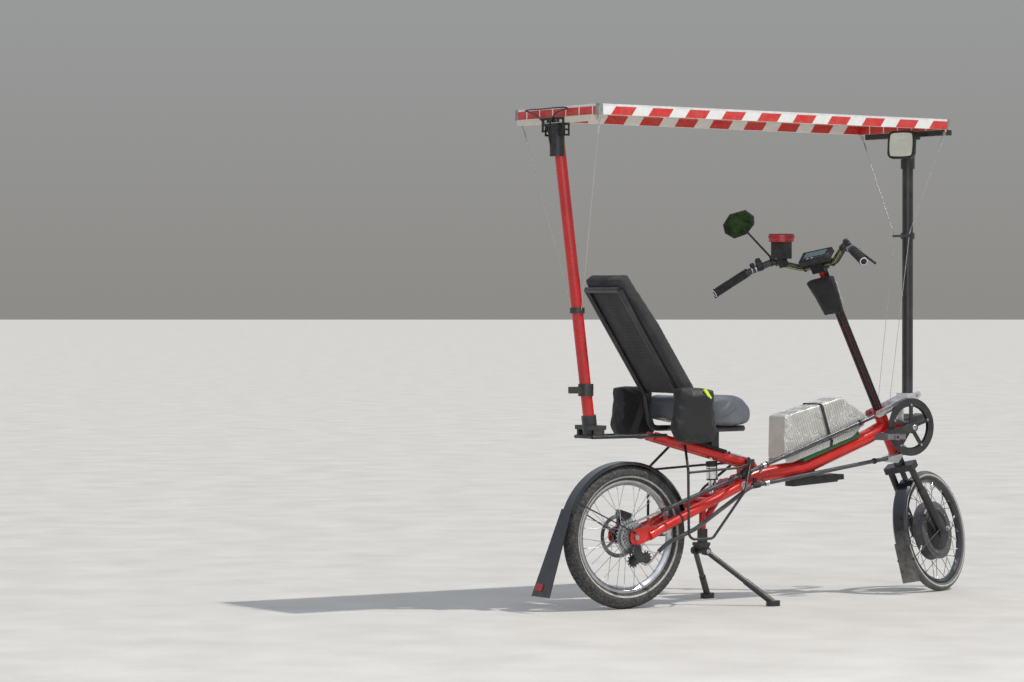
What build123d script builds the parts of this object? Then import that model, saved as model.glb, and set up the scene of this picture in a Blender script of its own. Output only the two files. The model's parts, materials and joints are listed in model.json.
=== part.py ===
from build123d import *
import math
import os

# Semi-recumbent electric bicycle with a solar roof on two masts, parked on its two-leg stand
# with the steering turned to the left. Millimetres: X runs forward from the rear axle,
# Y to the rider's left and Z up from the ground.

# Rear wheel
rim_seat_radius = 206.0
rear_tyre_height = 58.0
rear_tyre_radius = rim_seat_radius + rear_tyre_height
rear_tyre_section = 30.5
rear_hub_half_width = 67.0
rear_axle_radius = 5.0
hub_running_gap = 0.3

# Front wheel and its hub motor
front_tyre_height = 29.0
front_tyre_radius = rim_seat_radius + front_tyre_height
front_tyre_section = 16.0
motor_radius = 112.0
motor_half_width = 24.0
fork_inner_half_width = 50.0
front_axle_radius = 6.0

# Steering: axis leans back from the vertical, turned to the left as it is parked
head_top_x = 1188.0
head_top_z = 700.0
head_rake = math.radians(27.0)
steer_angle = math.radians(23.0)
fork_offset = 40.0
head_length = 190.0
head_tube_radius = 24.0
steerer_radius = 14.3
steerer_gap = 0.3
column_radius = 17.0
column_length = 612.0
bar_radius = 11.0
grip_radius = 16.0
grip_length = 128.0

# Frame
main_tube_radius = 28.5
pivot_x = 492.0
pivot_z = 440.0
stay_offset = 54.0
stay_radius = 18.0
seat_tube_offset = 24.0
seat_tube_radius = 17.0
joint_x = 566.0
joint_z = 510.0
seat_tube_end_x = 120.0
seat_tube_end_z = 628.0

# Cranks and chain
bottom_bracket_x = 1302.0
bottom_bracket_z = 640.0
shell_half_width = 36.5
shell_radius = 22.0
spindle_radius = 8.5
chain_line = 50.0
chain_pitch = 12.7
chainring_teeth = 48
sprocket_teeth = 24
crank_length = 166.0
crank_inner = 64.0
crank_thickness = 14.0
crank_angle = math.radians(191.0)
pedal_axle_radius = 6.0
pedal_length = 92.0
pedal_width = 88.0
pedal_height = 24.0
chain_tube_radius = 8.0
chain_tube_wall = 1.5

# Roof and masts
roof_length = 1620.0
roof_width = 540.0
roof_rear_x = -300.0
roof_rear_z = 1786.0
roof_front_z = 1774.0
roof_rail_height = 38.0
roof_rail_width = 22.0
roof_panel_thickness = 6.0
mast_radius = 21.0
front_mast_x = 1330.0
rear_mast_foot_x = -150.0
rear_mast_top_x = -296.0
rail_plate_offset = 32.0
rail_plate_thickness = 5.0
rail_plate_height = 26.0

# Seat
seat_half_width = 165.0
seat_nose_half_width = 95.0
seat_back_angle = math.radians(56.0)
seat_back_length = 520.0
seat_back_thickness = 48.0

# Stand
stand_pivot_x = 345.0
stand_pivot_z = 198.0
stand_foot_x = 525.0
stand_foot_y = 205.0
stand_leg_radius = 10.0
stand_shoe = (54.0, 36.0, 20.0)
stand_spindle_radius = 7.0

# Fits
pin_gap = 0.3


def point(x, y, z):
    return Vector(x, y, z)


def rod(start, end, radius, bore=0.0):
    """Straight round bar between two points, hollow when a bore is given."""
    axis = end - start
    plane = Plane(origin=start, z_dir=axis)
    section = Circle(radius)
    if bore > 0:
        section -= Circle(bore)
    return extrude(plane * section, axis.length)


def bent_rod(points, radius, bend, bore=0.0):
    """Round bar along straight runs joined by tangent arcs."""
    path = FilletPolyline(*points, radius=bend)
    plane = Plane(origin=points[0], z_dir=points[1] - points[0])
    section = Circle(radius)
    if bore > 0:
        section -= Circle(bore)
    return sweep(plane * section, path=path)


def cross_rod(x, z, y_start, y_end, radius, bore=0.0):
    """Round bar that runs across the bicycle."""
    return rod(point(x, y_start, z), point(x, y_end, z), radius, bore)


def side_plate(outline, y_start, y_end):
    """Plate cut to a side-view outline of (x, z) points, between two distances from the middle."""
    plane = Plane(origin=(0, y_end, 0), x_dir=(1, 0, 0), z_dir=(0, -1, 0))
    return extrude(plane * make_face(Polyline(*outline, close=True)), y_end - y_start)


def along(start, end, distance):
    """Point on the line from start to end, a distance from start."""
    return start + (end - start).normalized() * distance


def ring(x, z, y, width, outer, inner):
    """Flat ring across the bicycle, centred on y."""
    return cross_rod(x, z, y - width / 2, y + width / 2, outer, inner)


# The steering frame: X square to the axis and forward, Y to the left, Z up along the axis
turned_x = Vector(
    math.cos(steer_angle) * math.cos(head_rake),
    math.sin(steer_angle),
    math.cos(steer_angle) * math.sin(head_rake),
)
steer_up = Vector(-math.sin(head_rake), 0, math.cos(head_rake))
steering = Plane(origin=(head_top_x, 0, head_top_z), x_dir=turned_x, z_dir=steer_up).location

# The front wheel leans as it turns, so its centre is a little lower than its radius
wheel_tilt = math.sin(head_rake) * math.sin(steer_angle)
front_reach = (front_tyre_radius - front_tyre_section) * math.sqrt(1 - wheel_tilt**2)
front_centre_z = front_reach + front_tyre_section
front_drop = (
    head_top_z + fork_offset * math.cos(steer_angle) * math.sin(head_rake) - front_centre_z
) / math.cos(head_rake)


def tyre(tyre_radius, section_radius):
    """Round tyre, flat where it sits on the rim, about the Y axis."""
    centre = tyre_radius - section_radius
    section = Pos(centre, 0) * Circle(section_radius)
    section -= Pos(rim_seat_radius - section_radius, 0) * Rectangle(
        2 * section_radius, 4 * section_radius
    )
    return revolve(section, Axis.Y, 360)


def rim(half_width, depth):
    """Rim with a shallow V section, about the Y axis."""
    outline = (
        (rim_seat_radius, -half_width),
        (rim_seat_radius, half_width),
        (rim_seat_radius - depth * 0.45, half_width),
        (rim_seat_radius - depth, half_width * 0.45),
        (rim_seat_radius - depth, -half_width * 0.45),
        (rim_seat_radius - depth * 0.45, -half_width),
    )
    return revolve(make_face(Polyline(*outline, close=True)), Axis.Y, 360)


def spokes(count, hub_radius, flange_y, rim_radius, cross_steps, spoke_radius, lift):
    """Crossed spokes from two flanges to the rim, about the Y axis."""
    made = []
    per_side = count // 2
    spacing = 2 * math.pi / per_side
    for side in (1, -1):
        for number in range(per_side):
            lead = 1 if number % 2 == 0 else -1
            hub_angle = spacing * number + (spacing / 2 if side < 0 else 0)
            rim_angle = hub_angle + lead * cross_steps * spacing
            start = point(
                hub_radius * math.cos(hub_angle),
                side * flange_y + lead * lift,
                hub_radius * math.sin(hub_angle),
            )
            end = point(
                rim_radius * math.cos(rim_angle),
                side * 4.0 + lead * lift * 0.6,
                rim_radius * math.sin(rim_angle),
            )
            plane = Plane(origin=start, z_dir=end - start)
            section = plane * RegularPolygon(spoke_radius, 6)
            made.append(extrude(section, (end - start).length))
    return made


def turned_profile(outline):
    """Solid turned about the Y axis from (radius, y) points."""
    return revolve(make_face(Polyline(*outline, close=True)), Axis.Y, 360)


# Rear wheel
rear_axle = point(0, 0, rear_tyre_radius)
rear_place = Pos(rear_axle.X, rear_axle.Y, rear_axle.Z)
rear_rim_depth = 18.0
rear_flange_y = 29.0
rear_flange_radius = 29.0
spoke_radius = 1.1


def rear_tyre():
    return rear_place * tyre(rear_tyre_radius, rear_tyre_section)


def rear_rim():
    body = rim(13.5, rear_rim_depth)
    laced = spokes(
        32, rear_flange_radius + 1.5, rear_flange_y, rim_seat_radius - rear_rim_depth + 3, 3,
        spoke_radius, 1.5,
    )
    return rear_place * body.fuse(*laced)


def rear_hub():
    bore = rear_axle_radius + hub_running_gap
    flange = 1.6
    shell = 17.0
    outline = (
        (bore, -rear_hub_half_width + 2),
        (12.0, -rear_hub_half_width + 2),
        (12.0, -rear_flange_y - flange - 4),
        (shell, -rear_flange_y - flange - 2),
        (shell + 3, -rear_flange_y - flange),
        (rear_flange_radius, -rear_flange_y - flange),
        (rear_flange_radius, -rear_flange_y + flange),
        (shell + 3, -rear_flange_y + flange),
        (shell, -rear_flange_y + flange + 5),
        (shell, rear_flange_y - flange - 5),
        (shell + 3, rear_flange_y - flange),
        (rear_flange_radius, rear_flange_y - flange),
        (rear_flange_radius, rear_flange_y + flange),
        (22.0, rear_flange_y + flange),
        (22.0, rear_flange_y + flange + 6),
        (12.0, rear_flange_y + flange + 6),
        (12.0, rear_hub_half_width - 2),
        (bore, rear_hub_half_width - 2),
    )
    return rear_place * turned_profile(outline)


def pitch_radius(teeth):
    return chain_pitch / (2 * math.sin(math.pi / teeth))


# Tooth gap about a chain pin: distance along the pitch circle and distance out from it
tooth_gap = ((-4.1, 0.3), (-2.6, -3.7), (2.6, -3.7), (4.1, 0.3))
tooth_tip_half = 0.9
tooth_rise = 2.6


def toothed_outline(teeth, phase, plain=False):
    """Outline of a sprocket as (x, z) points, with a gap at the phase angle."""
    radius = pitch_radius(teeth)
    step = 2 * math.pi / teeth
    gap = tooth_gap[1:3] if plain else tooth_gap
    outline = []
    for number in range(teeth):
        middle = phase + number * step
        for offset, rise in gap:
            angle = middle + offset / radius
            outline.append(((radius + rise) * math.cos(angle), (radius + rise) * math.sin(angle)))
        for side in (-1, 1):
            angle = middle + step / 2 + side * tooth_tip_half / radius
            reach = radius + tooth_rise
            outline.append((reach * math.cos(angle), reach * math.sin(angle)))
    return outline


# Cassette: teeth and place of each sprocket, largest next to the spokes
cassette_table = (32, 28, sprocket_teeth, 21, 18, 15)
sprocket_spacing = 3.9
sprocket_width = 1.8
cassette_inner = chain_line - cassette_table.index(sprocket_teeth) * sprocket_spacing
cassette_bore = 12.4


def cassette():
    """Six toothed sprockets on one carrier; the chain runs on the one with sprocket_teeth."""
    parts = []
    for place, teeth in enumerate(cassette_table):
        distance = -(cassette_inner + place * sprocket_spacing)
        engaged = teeth == sprocket_teeth
        phase = wheel_phase(chain_rear, 1) if engaged else 0.0
        outline = toothed_outline(teeth, phase, plain=not engaged)
        parts.append(side_plate(outline, distance - sprocket_width / 2, distance + sprocket_width / 2))
    carrier_end = cassette_inner + (len(cassette_table) - 1) * sprocket_spacing
    carrier = cross_rod(0, 0, -carrier_end, -cassette_inner, 20.0)
    whole = carrier.fuse(*parts)
    return rear_place * (whole - cross_rod(0, 0, -carrier_end - 9, 0, cassette_bore))


disc_radius = 80.0
disc_thickness = 1.8
disc_distance = rear_flange_y + 7.6 + disc_thickness


def brake_disc():
    face = Circle(disc_radius) - Circle(disc_radius - 15)
    for number in range(5):
        angle = 72 * number
        face += Rot(0, 0, angle) * Pos(disc_radius * 0.5, 0) * Rectangle(disc_radius * 0.8, 9)
    face += Circle(24)
    face -= Circle(12.4)
    plane = Plane(origin=(0, disc_distance, 0), x_dir=(1, 0, 0), z_dir=(0, -1, 0))
    return rear_place * extrude(plane * face, disc_thickness)


# Swing arm, pivot and rear axle
dropout_thickness = 6.0
dropout_y = rear_hub_half_width + 1.0
pivot_half_width = main_tube_radius + 1.0
elbow = (140.0, rear_axle.Z + 34.0)
stay_end = (60.0, rear_axle.Z + 4.0)
brace_top = (446.0, 418.0)
post_x = 352.0
post_foot_z = 280.0
shock_x = 392.0
shock_foot_x = shock_x + 8
bridge_radius = 13.0
dropout_outline = (
    # x, and height above the axle
    (95.0, 35.0), (60.0, 42.0), (14.0, 34.0), (-14.0, 27.0), (-22.0, 12.0), (-22.0, -10.0),
    (-14.0, -24.0), (12.0, -28.0), (60.0, -12.0), (95.0, 12.0),
)


def swing_arm():
    parts = []
    for side in (1, -1):
        path = [
            point(pivot_x, side * stay_offset, pivot_z),
            point(elbow[0], side * stay_offset, elbow[1]),
            point(stay_end[0], side * (stay_offset + 16), stay_end[1]),
        ]
        parts.append(bent_rod(path, stay_radius, 60.0))
        parts.append(cross_rod(pivot_x, pivot_z, side * pivot_half_width, side * 41.0, 24.0))
        parts.append(cross_rod(pivot_x, pivot_z, side * 40.0, side * (stay_offset + stay_radius), 19.0))
        inner = dropout_y * side
        outer = (dropout_y + dropout_thickness) * side
        plate = [(x, rear_axle.Z + rise) for x, rise in dropout_outline]
        parts.append(side_plate(plate, min(inner, outer), max(inner, outer)))
    for bridge_x in (post_x, shock_foot_x):
        x, z = along_stay(bridge_x)
        parts.append(cross_rod(x, z, -stay_offset, stay_offset, bridge_radius))
    brace_foot = point(post_x + 4, 0, post_foot_z + 22)
    parts.append(rod(point(brace_top[0], 0, brace_top[1]), brace_foot, 12.0))
    parts.append(rod(point(post_x, 0, along_stay(post_x)[1]), point(post_x, 0, post_foot_z), 13.0))
    whole = parts[0].fuse(*parts[1:])
    for side in (1, -1):
        whole -= cross_rod(
            0, rear_axle.Z, side * (dropout_y - 5), side * (dropout_y + 15),
            rear_axle_radius + 0.05,
        )
    return whole


def along_stay(x):
    """Point of the stay's middle line at x."""
    slope = (pivot_z - elbow[1]) / (pivot_x - elbow[0])
    return x, elbow[1] + (x - elbow[0]) * slope


def rear_axle_bolt():
    end = dropout_y + dropout_thickness
    parts = [cross_rod(0, rear_axle.Z, -end - 12, end + 12, rear_axle_radius)]
    for side in (1, -1):
        nut = Plane(origin=(0, side * end, rear_axle.Z), z_dir=(0, side, 0)) * RegularPolygon(10, 6)
        parts.append(extrude(nut, 8))
    return parts[0].fuse(*parts[1:])


# Main frame
main_line = (
    (pivot_x + 4, pivot_z + 8),
    (620.0, 474.0),
    (816.0, 493.0),
    (1130.0, 604.0),
    (1216.0, 642.0),
)


def head_point(distance):
    """Point of the steering axis, a distance below the top of the head tube."""
    return Vector(head_top_x, 0, head_top_z) - steer_up * distance


main_bend = 260.0


def main_tube(gap=0.0):
    return bent_rod([point(x, 0, z) for x, z in main_line], main_tube_radius + gap, main_bend)


boom_radius = 25.0


def boom_tube(gap=0.0):
    """Short tube from the head to the bottom bracket."""
    return rod(head_point(66.0), point(bottom_bracket_x, 0, bottom_bracket_z), boom_radius + gap)


def head_tube(gap=0.0):
    return rod(head_point(head_length), head_point(4.0), head_tube_radius + gap)


def main_frame():
    line = main_tube()
    barrel = cross_rod(pivot_x, pivot_z, -pivot_half_width, pivot_half_width, 24.0)
    head = head_tube()
    collar_low = rod(head_point(head_length), head_point(head_length - 14), head_tube_radius + 4)
    collar_high = rod(head_point(18.0), head_point(4.0), head_tube_radius + 4)
    boom = boom_tube()
    shell = cross_rod(
        bottom_bracket_x, bottom_bracket_z, -shell_half_width, shell_half_width, shell_radius
    )
    low = head_point(head_length - 22)
    gusset = side_plate(
        (
            (low.X - 6, low.Z), (low.X + 30, low.Z + 4), (bottom_bracket_x - 4, bottom_bracket_z - 8),
            (head_point(80.0).X, head_point(80.0).Z),
        ),
        -8.0, 8.0,
    )
    whole = line.fuse(barrel, head, collar_low, collar_high, boom, shell, gusset)
    bore = steerer_radius + steerer_gap
    whole -= rod(head_point(head_length + 20), head_point(-20.0), bore)
    whole -= cross_rod(
        bottom_bracket_x, bottom_bracket_z, -shell_half_width - 5, shell_half_width + 5,
        spindle_radius + pin_gap,
    )
    return whole.fuse(seat_tubes())


def seat_tubes():
    parts = []
    for side in (1, -1):
        parts.append(
            rod(
                point(joint_x, side * seat_tube_offset, joint_z),
                point(seat_tube_end_x, side * seat_tube_offset, seat_tube_end_z),
                seat_tube_radius,
            )
        )
    parts.append(cross_rod(joint_x, joint_z, -seat_tube_offset, seat_tube_offset, seat_tube_radius))
    lug = (
        (joint_x - 44, joint_z + 8), (joint_x + 16, joint_z + 8), (joint_x + 46, joint_z - 22),
        (joint_x + 10, joint_z - 42), (joint_x - 40, joint_z - 42),
    )
    parts.append(side_plate(lug, -seat_tube_offset + 4, seat_tube_offset - 4))
    parts.append(
        rod(point(seat_tube_end_x + 6, -seat_tube_offset, seat_tube_end_z - 2),
            point(seat_tube_end_x + 6, seat_tube_offset, seat_tube_end_z - 2), 14.0)
    )
    return parts[0].fuse(*parts[1:])


def seat_tube_z(x):
    """Height of the seat tubes' middle line at x."""
    slope = (seat_tube_end_z - joint_z) / (seat_tube_end_x - joint_x)
    return joint_z + (x - joint_x) * slope


# Rear shock between the seat tubes and the swing arm
def rear_shock():
    top = point(shock_x, 0, seat_tube_z(shock_x) - 2)
    foot = point(shock_foot_x, 0, along_stay(shock_foot_x)[1])
    middle = along(foot, top, 60.0)
    parts = [
        rod(along(foot, top, 6.0), middle, 14.0),
        rod(middle, along(foot, top, (top - foot).length - 26), 21.0),
        cross_rod(top.X, top.Z, -6.7, 6.7, 10.0),
        rod(along(foot, top, (top - foot).length - 20), top, 6.5),
    ]
    bridge = cross_rod(foot.X, foot.Z, -stay_offset, stay_offset, bridge_radius + pin_gap)
    return parts[0].fuse(*parts[1:]) - bridge


# Chain tubes, and the chain where it shows at their ends
ring_pitch = pitch_radius(chainring_teeth)
sprocket_pitch = pitch_radius(sprocket_teeth)
upper_tube = ((1128.0, 685.0), (131.0, rear_axle.Z + 92.0))
lower_tube = (
    (1189.0, 522.0), (540.0, 434.0), (283.0, 284.0), (160.0, rear_axle.Z - 25.0),
    (118.0, rear_axle.Z - 56.0),
)


def chain_tube_upper():
    start, end = upper_tube
    return rod(
        point(start[0], -chain_line, start[1]), point(end[0], -chain_line, end[1]),
        chain_tube_radius, chain_tube_radius - chain_tube_wall,
    )


def chain_tube_lower():
    path = [point(x, -chain_line, z) for x, z in lower_tube]
    return bent_rod(path, chain_tube_radius, 180.0, chain_tube_radius - chain_tube_wall)


# Wheels the chain runs round in side view: middle, radius to the chain, turning sense
guide_wheel = (4.0, rear_axle.Z - 86.0)
tension_wheel = (60.0, rear_axle.Z - 78.0)
jockey_teeth = 12
jockey_pitch = pitch_radius(jockey_teeth)
chain_front = (
    (lower_tube[0], 0.0, 1), ((bottom_bracket_x, bottom_bracket_z), ring_pitch, 1),
    (upper_tube[0], 0.0, 1),
)
chain_rear = (
    (upper_tube[1], 0.0, 1), ((0.0, rear_tyre_radius), sprocket_pitch, 1),
    (guide_wheel, jockey_pitch, -1), (tension_wheel, jockey_pitch, 1), (lower_tube[-1], 0.0, 1),
)


def tangent(start, end):
    """Straight run between two round wheels: its two ends and its direction."""
    (x1, z1), r1, turn1 = start
    (x2, z2), r2, turn2 = end
    span = math.hypot(x2 - x1, z2 - z1)
    lean = math.atan2(z2 - z1, x2 - x1) + math.asin((turn1 * r1 - turn2 * r2) / span)
    right = (math.sin(lean), -math.cos(lean))
    first = (x1 + turn1 * r1 * right[0], z1 + turn1 * r1 * right[1])
    last = (x2 + turn2 * r2 * right[0], z2 + turn2 * r2 * right[1])
    return first, last, lean


def chain_legs(wheels):
    """Straight runs and arcs of a chain: number of pitches, and what is needed to place a pin."""
    runs = [tangent(wheels[i], wheels[i + 1]) for i in range(len(wheels) - 1)]
    legs = []
    for number, (first, last, lean) in enumerate(runs):
        length = math.hypot(last[0] - first[0], last[1] - first[1])
        legs.append((length / chain_pitch, "run", first, last))
        if number + 1 < len(runs):
            centre, radius, turn = wheels[number + 1]
            swept = (turn * (runs[number + 1][2] - lean)) % (2 * math.pi)
            step = 2 * math.asin(chain_pitch / (2 * radius))
            start = math.atan2(last[1] - centre[1], last[0] - centre[0])
            legs.append((swept / step, "arc", centre, (radius, start, turn * step)))
    return legs


def chain_pins(wheels):
    """Pin places one pitch apart along a chain, and the leg that each is on."""
    pins = []
    passed = 0.0
    for index, (count, kind, first, last) in enumerate(chain_legs(wheels)):
        while len(pins) <= passed + count:
            share = len(pins) - passed
            if kind == "run":
                part = share / count
                pins.append((
                    first[0] + (last[0] - first[0]) * part, first[1] + (last[1] - first[1]) * part, index,
                ))
            else:
                radius, start, step = last
                angle = start + step * share
                pins.append((first[0] + radius * math.cos(angle), first[1] + radius * math.sin(angle), index))
        passed += count
    return pins


def wheel_phase(wheels, number):
    """Angle of a pin that lies on the numbered wheel of a chain."""
    centre = wheels[number][0]
    leg = 2 * number - 1
    x, z = [(x, z) for x, z, index in chain_pins(wheels) if index == leg][0]
    return math.atan2(z - centre[1], x - centre[0])


roller_radius = 3.2
link_inner = 1.4
link_plate = 0.7
link_outline = ((-10.2, 0.0), (-8.4, 3.7), (8.4, 3.7), (10.2, 0.0), (8.4, -3.7), (-8.4, -3.7))


def chain_strand(wheels):
    """Roller chain: pairs of inner and outer plates in turn, on six-sided rollers."""
    pins = chain_pins(wheels)
    parts = []
    for number, (x, z, _) in enumerate(pins):
        plane = Plane(
            origin=(x, -chain_line - link_inner, z), x_dir=(1, 0, 0), z_dir=(0, 1, 0)
        )
        parts.append(extrude(plane * RegularPolygon(roller_radius, 6), 2 * link_inner))
    for number in range(len(pins) - 1):
        x1, z1, _ = pins[number]
        x2, z2, _ = pins[number + 1]
        lean = math.atan2(z2 - z1, x2 - x1)
        outline = [
            (
                (x1 + x2) / 2 + u * math.cos(lean) - v * math.sin(lean),
                (z1 + z2) / 2 + u * math.sin(lean) + v * math.cos(lean),
            )
            for u, v in link_outline
        ]
        near = link_inner + (link_plate if number % 2 else 0.0)
        for side in (1, -1):
            low, high = sorted((-chain_line + side * near, -chain_line + side * (near + link_plate)))
            parts.append(side_plate(outline, low, high))
    return parts[0].fuse(*parts[1:])


def tube_clip(x, line, foot):
    """Ring round a chain tube, on an arm that stands on the main tube."""
    (x1, z1), (x2, z2) = line
    z = z1 + (x - x1) * (z2 - z1) / (x2 - x1)
    centre = point(x, -chain_line, z)
    slope = (point(x2, 0, z2) - point(x1, 0, z1)).normalized()
    loop = rod(centre - slope * 8, centre + slope * 8, chain_tube_radius + 3)
    arm = rod(centre, point(*foot), 5.0)
    hole = rod(centre - slope * 30, centre + slope * 30, chain_tube_radius + 0.1)
    return loop.fuse(arm) - hole


def chain_clips():
    """Clips on the main tube and a plate under the head that hold the chain tubes."""
    upper = tube_clip(600.0, upper_tube, (600.0, -18.0, 478.0)) - main_tube(0.1) - seat_tubes()
    lower = tube_clip(612.0, lower_tube[:2], (616.0, -14.0, 458.0)) - main_tube(0.1)
    outline = (
        (1176.0, 530.0), (1184.0, 508.0), (1250.0, 502.0), (1278.0, 534.0), (1290.0, 568.0),
        (1270.0, 576.0), (1248.0, 538.0),
    )
    face = chain_line - chain_tube_radius - 0.3
    plate = side_plate(outline, -face, -face + 3.5)
    spacer = cross_rod(1276.0, 562.0, -face + 2, -8.0, 7.0) - head_tube(0.05)
    return [upper, lower, plate.fuse(spacer)]


# Crank set
guard_radius = 111.0
ring_thickness = 2.2


def chainset():
    """Chainring, guard and five-arm spider."""
    outline = toothed_outline(chainring_teeth, wheel_phase(chain_front, 1))
    tooth_ring = side_plate(outline, -chain_line - ring_thickness / 2, -chain_line + ring_thickness / 2)
    tooth_ring -= cross_rod(0, 0, -chain_line - 9, -chain_line + 9, ring_pitch - 18)
    guard_y = -chain_line - 7.0
    guard = ring(0, 0, guard_y, 3.0, guard_radius, ring_pitch - 14)
    parts = [tooth_ring, guard]
    for number in range(5):
        angle = math.radians(72 * number + 18)
        reach = ring_pitch - 12
        centre = point(reach * math.cos(angle), 0, reach * math.sin(angle))
        boss = cross_rod(centre.X, centre.Z, guard_y - 1.5, -chain_line + 3, 7.0)
        arm_plane = Plane(
            origin=(0, guard_y - 1.5, 0), x_dir=(math.cos(angle), 0, math.sin(angle)),
            z_dir=(0, 1, 0),
        )
        arm = extrude(arm_plane * (Pos(reach / 2, 0) * Rectangle(reach, 15)), 6.0)
        parts.extend((boss, arm))
    hub = cross_rod(0, 0, -crank_inner + pin_gap, -shell_half_width - 2, 24.0)
    whole = hub.fuse(*parts)
    whole -= cross_rod(0, 0, -200, 200, spindle_radius + 0.05)
    return Pos(bottom_bracket_x, 0, bottom_bracket_z) * whole


def pedal_centre(side):
    """Pedal end of the right (-1) or left (1) crank."""
    angle = crank_angle if side < 0 else crank_angle + math.pi
    return (
        bottom_bracket_x + crank_length * math.cos(angle),
        bottom_bracket_z + crank_length * math.sin(angle),
    )


def crank_arm(side):
    x, z = pedal_centre(side)
    angle = math.atan2(z - bottom_bracket_z, x - bottom_bracket_x)
    plane = Plane(
        origin=(bottom_bracket_x, side * crank_inner, bottom_bracket_z),
        x_dir=(math.cos(angle), 0, math.sin(angle)), z_dir=(0, side, 0),
    )
    big = 17.0
    small = 12.0
    outline = make_hull(
        [Circle(big).edges()[0], (Pos(crank_length, 0) * Circle(small)).edges()[0]]
    )
    arm = extrude(plane * outline, crank_thickness)
    outer = crank_inner + crank_thickness
    axle = cross_rod(
        x, z, side * crank_inner, side * (outer + pedal_gap + pedal_length), pedal_axle_radius
    )
    return arm.fuse(axle)


def cranks():
    outer = crank_inner + crank_thickness
    spindle = cross_rod(bottom_bracket_x, bottom_bracket_z, -outer, outer, spindle_radius)
    return spindle.fuse(crank_arm(1), crank_arm(-1))


pedal_gap = 6.0


def pedal(side):
    """Cage pedal on its axle, level as it hangs."""
    x, z = pedal_centre(side)
    inner = crank_inner + crank_thickness + pedal_gap
    outer = inner + pedal_length
    low, high = sorted((side * inner, side * outer))
    barrel = cross_rod(x, z, low, high, 11.0)
    parts = []
    cage = 4.0
    for end in (1, -1):
        reach = pedal_width / 2
        parts.append(
            Pos(x + end * (reach - cage / 2), (low + high) / 2, z)
            * Box(cage, pedal_length - 14, pedal_height)
        )
    for y in (low + 9, high - 9):
        parts.append(Pos(x, y, z) * Box(pedal_width, cage, pedal_height * 0.7))
    whole = barrel.fuse(*parts)
    return whole - cross_rod(x, z, low - 5, high + 5, pedal_axle_radius + pin_gap)


# Derailleur below the rear axle
cage_reach = 5.6


def derailleur():
    parts = []
    for number, (x, z) in ((2, guide_wheel), (3, tension_wheel)):
        outline = toothed_outline(jockey_teeth, wheel_phase(chain_rear, number))
        wheel = side_plate(outline, -chain_line - 1.0, -chain_line + 1.0)
        parts.append(Pos(x, 0, z) * wheel)
        parts.append(cross_rod(x, z, -chain_line - cage_reach - 3, -chain_line + cage_reach, 5.0))
    cage = make_hull(
        [(Pos(x, z) * Circle(12)).edges()[0] for x, z in (guide_wheel, tension_wheel)]
    )
    for y in (-chain_line - cage_reach, -chain_line + cage_reach - 1.6):
        plane = Plane(origin=(0, y + 1.6, 0), x_dir=(1, 0, 0), z_dir=(0, -1, 0))
        parts.append(extrude(plane * cage, 1.6))
    arm = (
        (-6.0, rear_axle.Z - 26.0), (14.0, rear_axle.Z - 26.0), (22.0, rear_axle.Z - 54.0),
        (guide_wheel[0] + 8, guide_wheel[1] + 4), (guide_wheel[0] - 10, guide_wheel[1] + 2),
        (-10.0, rear_axle.Z - 50.0),
    )
    parts.append(side_plate(arm, -dropout_y - dropout_thickness - 8, -dropout_y - dropout_thickness - 0.2))
    knuckle = (guide_wheel[0], guide_wheel[1] + 13)
    parts.append(cross_rod(*knuckle, -dropout_y - 12, -chain_line - cage_reach, 8.0))
    return parts[0].fuse(*parts[1:])


# Brakes
def rear_caliper():
    """Disc caliper on a foot that stands on the left dropout plate."""
    reach = disc_radius - 4
    angle = math.radians(72.0)
    x = reach * math.cos(angle)
    z = rear_tyre_radius + reach * math.sin(angle)
    turn = Rot(0, -math.degrees(angle), 0)
    body = Pos(x, disc_distance + 4, z) * turn * Box(34, 30, 52)
    slot = Pos(x, disc_distance - disc_thickness / 2, z) * turn * Box(60, 5.0, 70)
    body -= Pos(-18 * math.cos(angle), 0, -18 * math.sin(angle)) * slot
    low = rear_axle.Z + 18.0
    foot = ((x - 14, z - 14), (x - 12, low), (x + 12, low), (x + 14, z - 18), (x + 10, z + 8))
    plate = side_plate(foot, disc_distance + 12, dropout_y - 0.1)
    return body.fuse(plate)


# Stand
def stand_bracket():
    """Drop bracket under the swing arm, with ears that carry the stand's spindle."""
    top = post_foot_z
    parts = [
        Pos(post_x, 0, (top + stand_pivot_z + 20) / 2) * Box(28, 26, top - stand_pivot_z - 20),
    ]
    parts.append(Pos(stand_pivot_x + 2, 0, stand_pivot_z + 26) * Box(46, 50, 12))
    for side in (1, -1):
        ear = (
            (stand_pivot_x - 18, stand_pivot_z + 32), (stand_pivot_x + 24, stand_pivot_z + 32),
            (stand_pivot_x + 14, stand_pivot_z - 12), (stand_pivot_x - 12, stand_pivot_z - 12),
        )
        edges = sorted((side * 20.0, side * 25.0))
        parts.append(side_plate(ear, edges[0], edges[1]))
    whole = parts[0].fuse(*parts[1:])
    whole -= cross_rod(stand_pivot_x, stand_pivot_z, -60, 60, stand_spindle_radius + pin_gap)
    return whole


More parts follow.
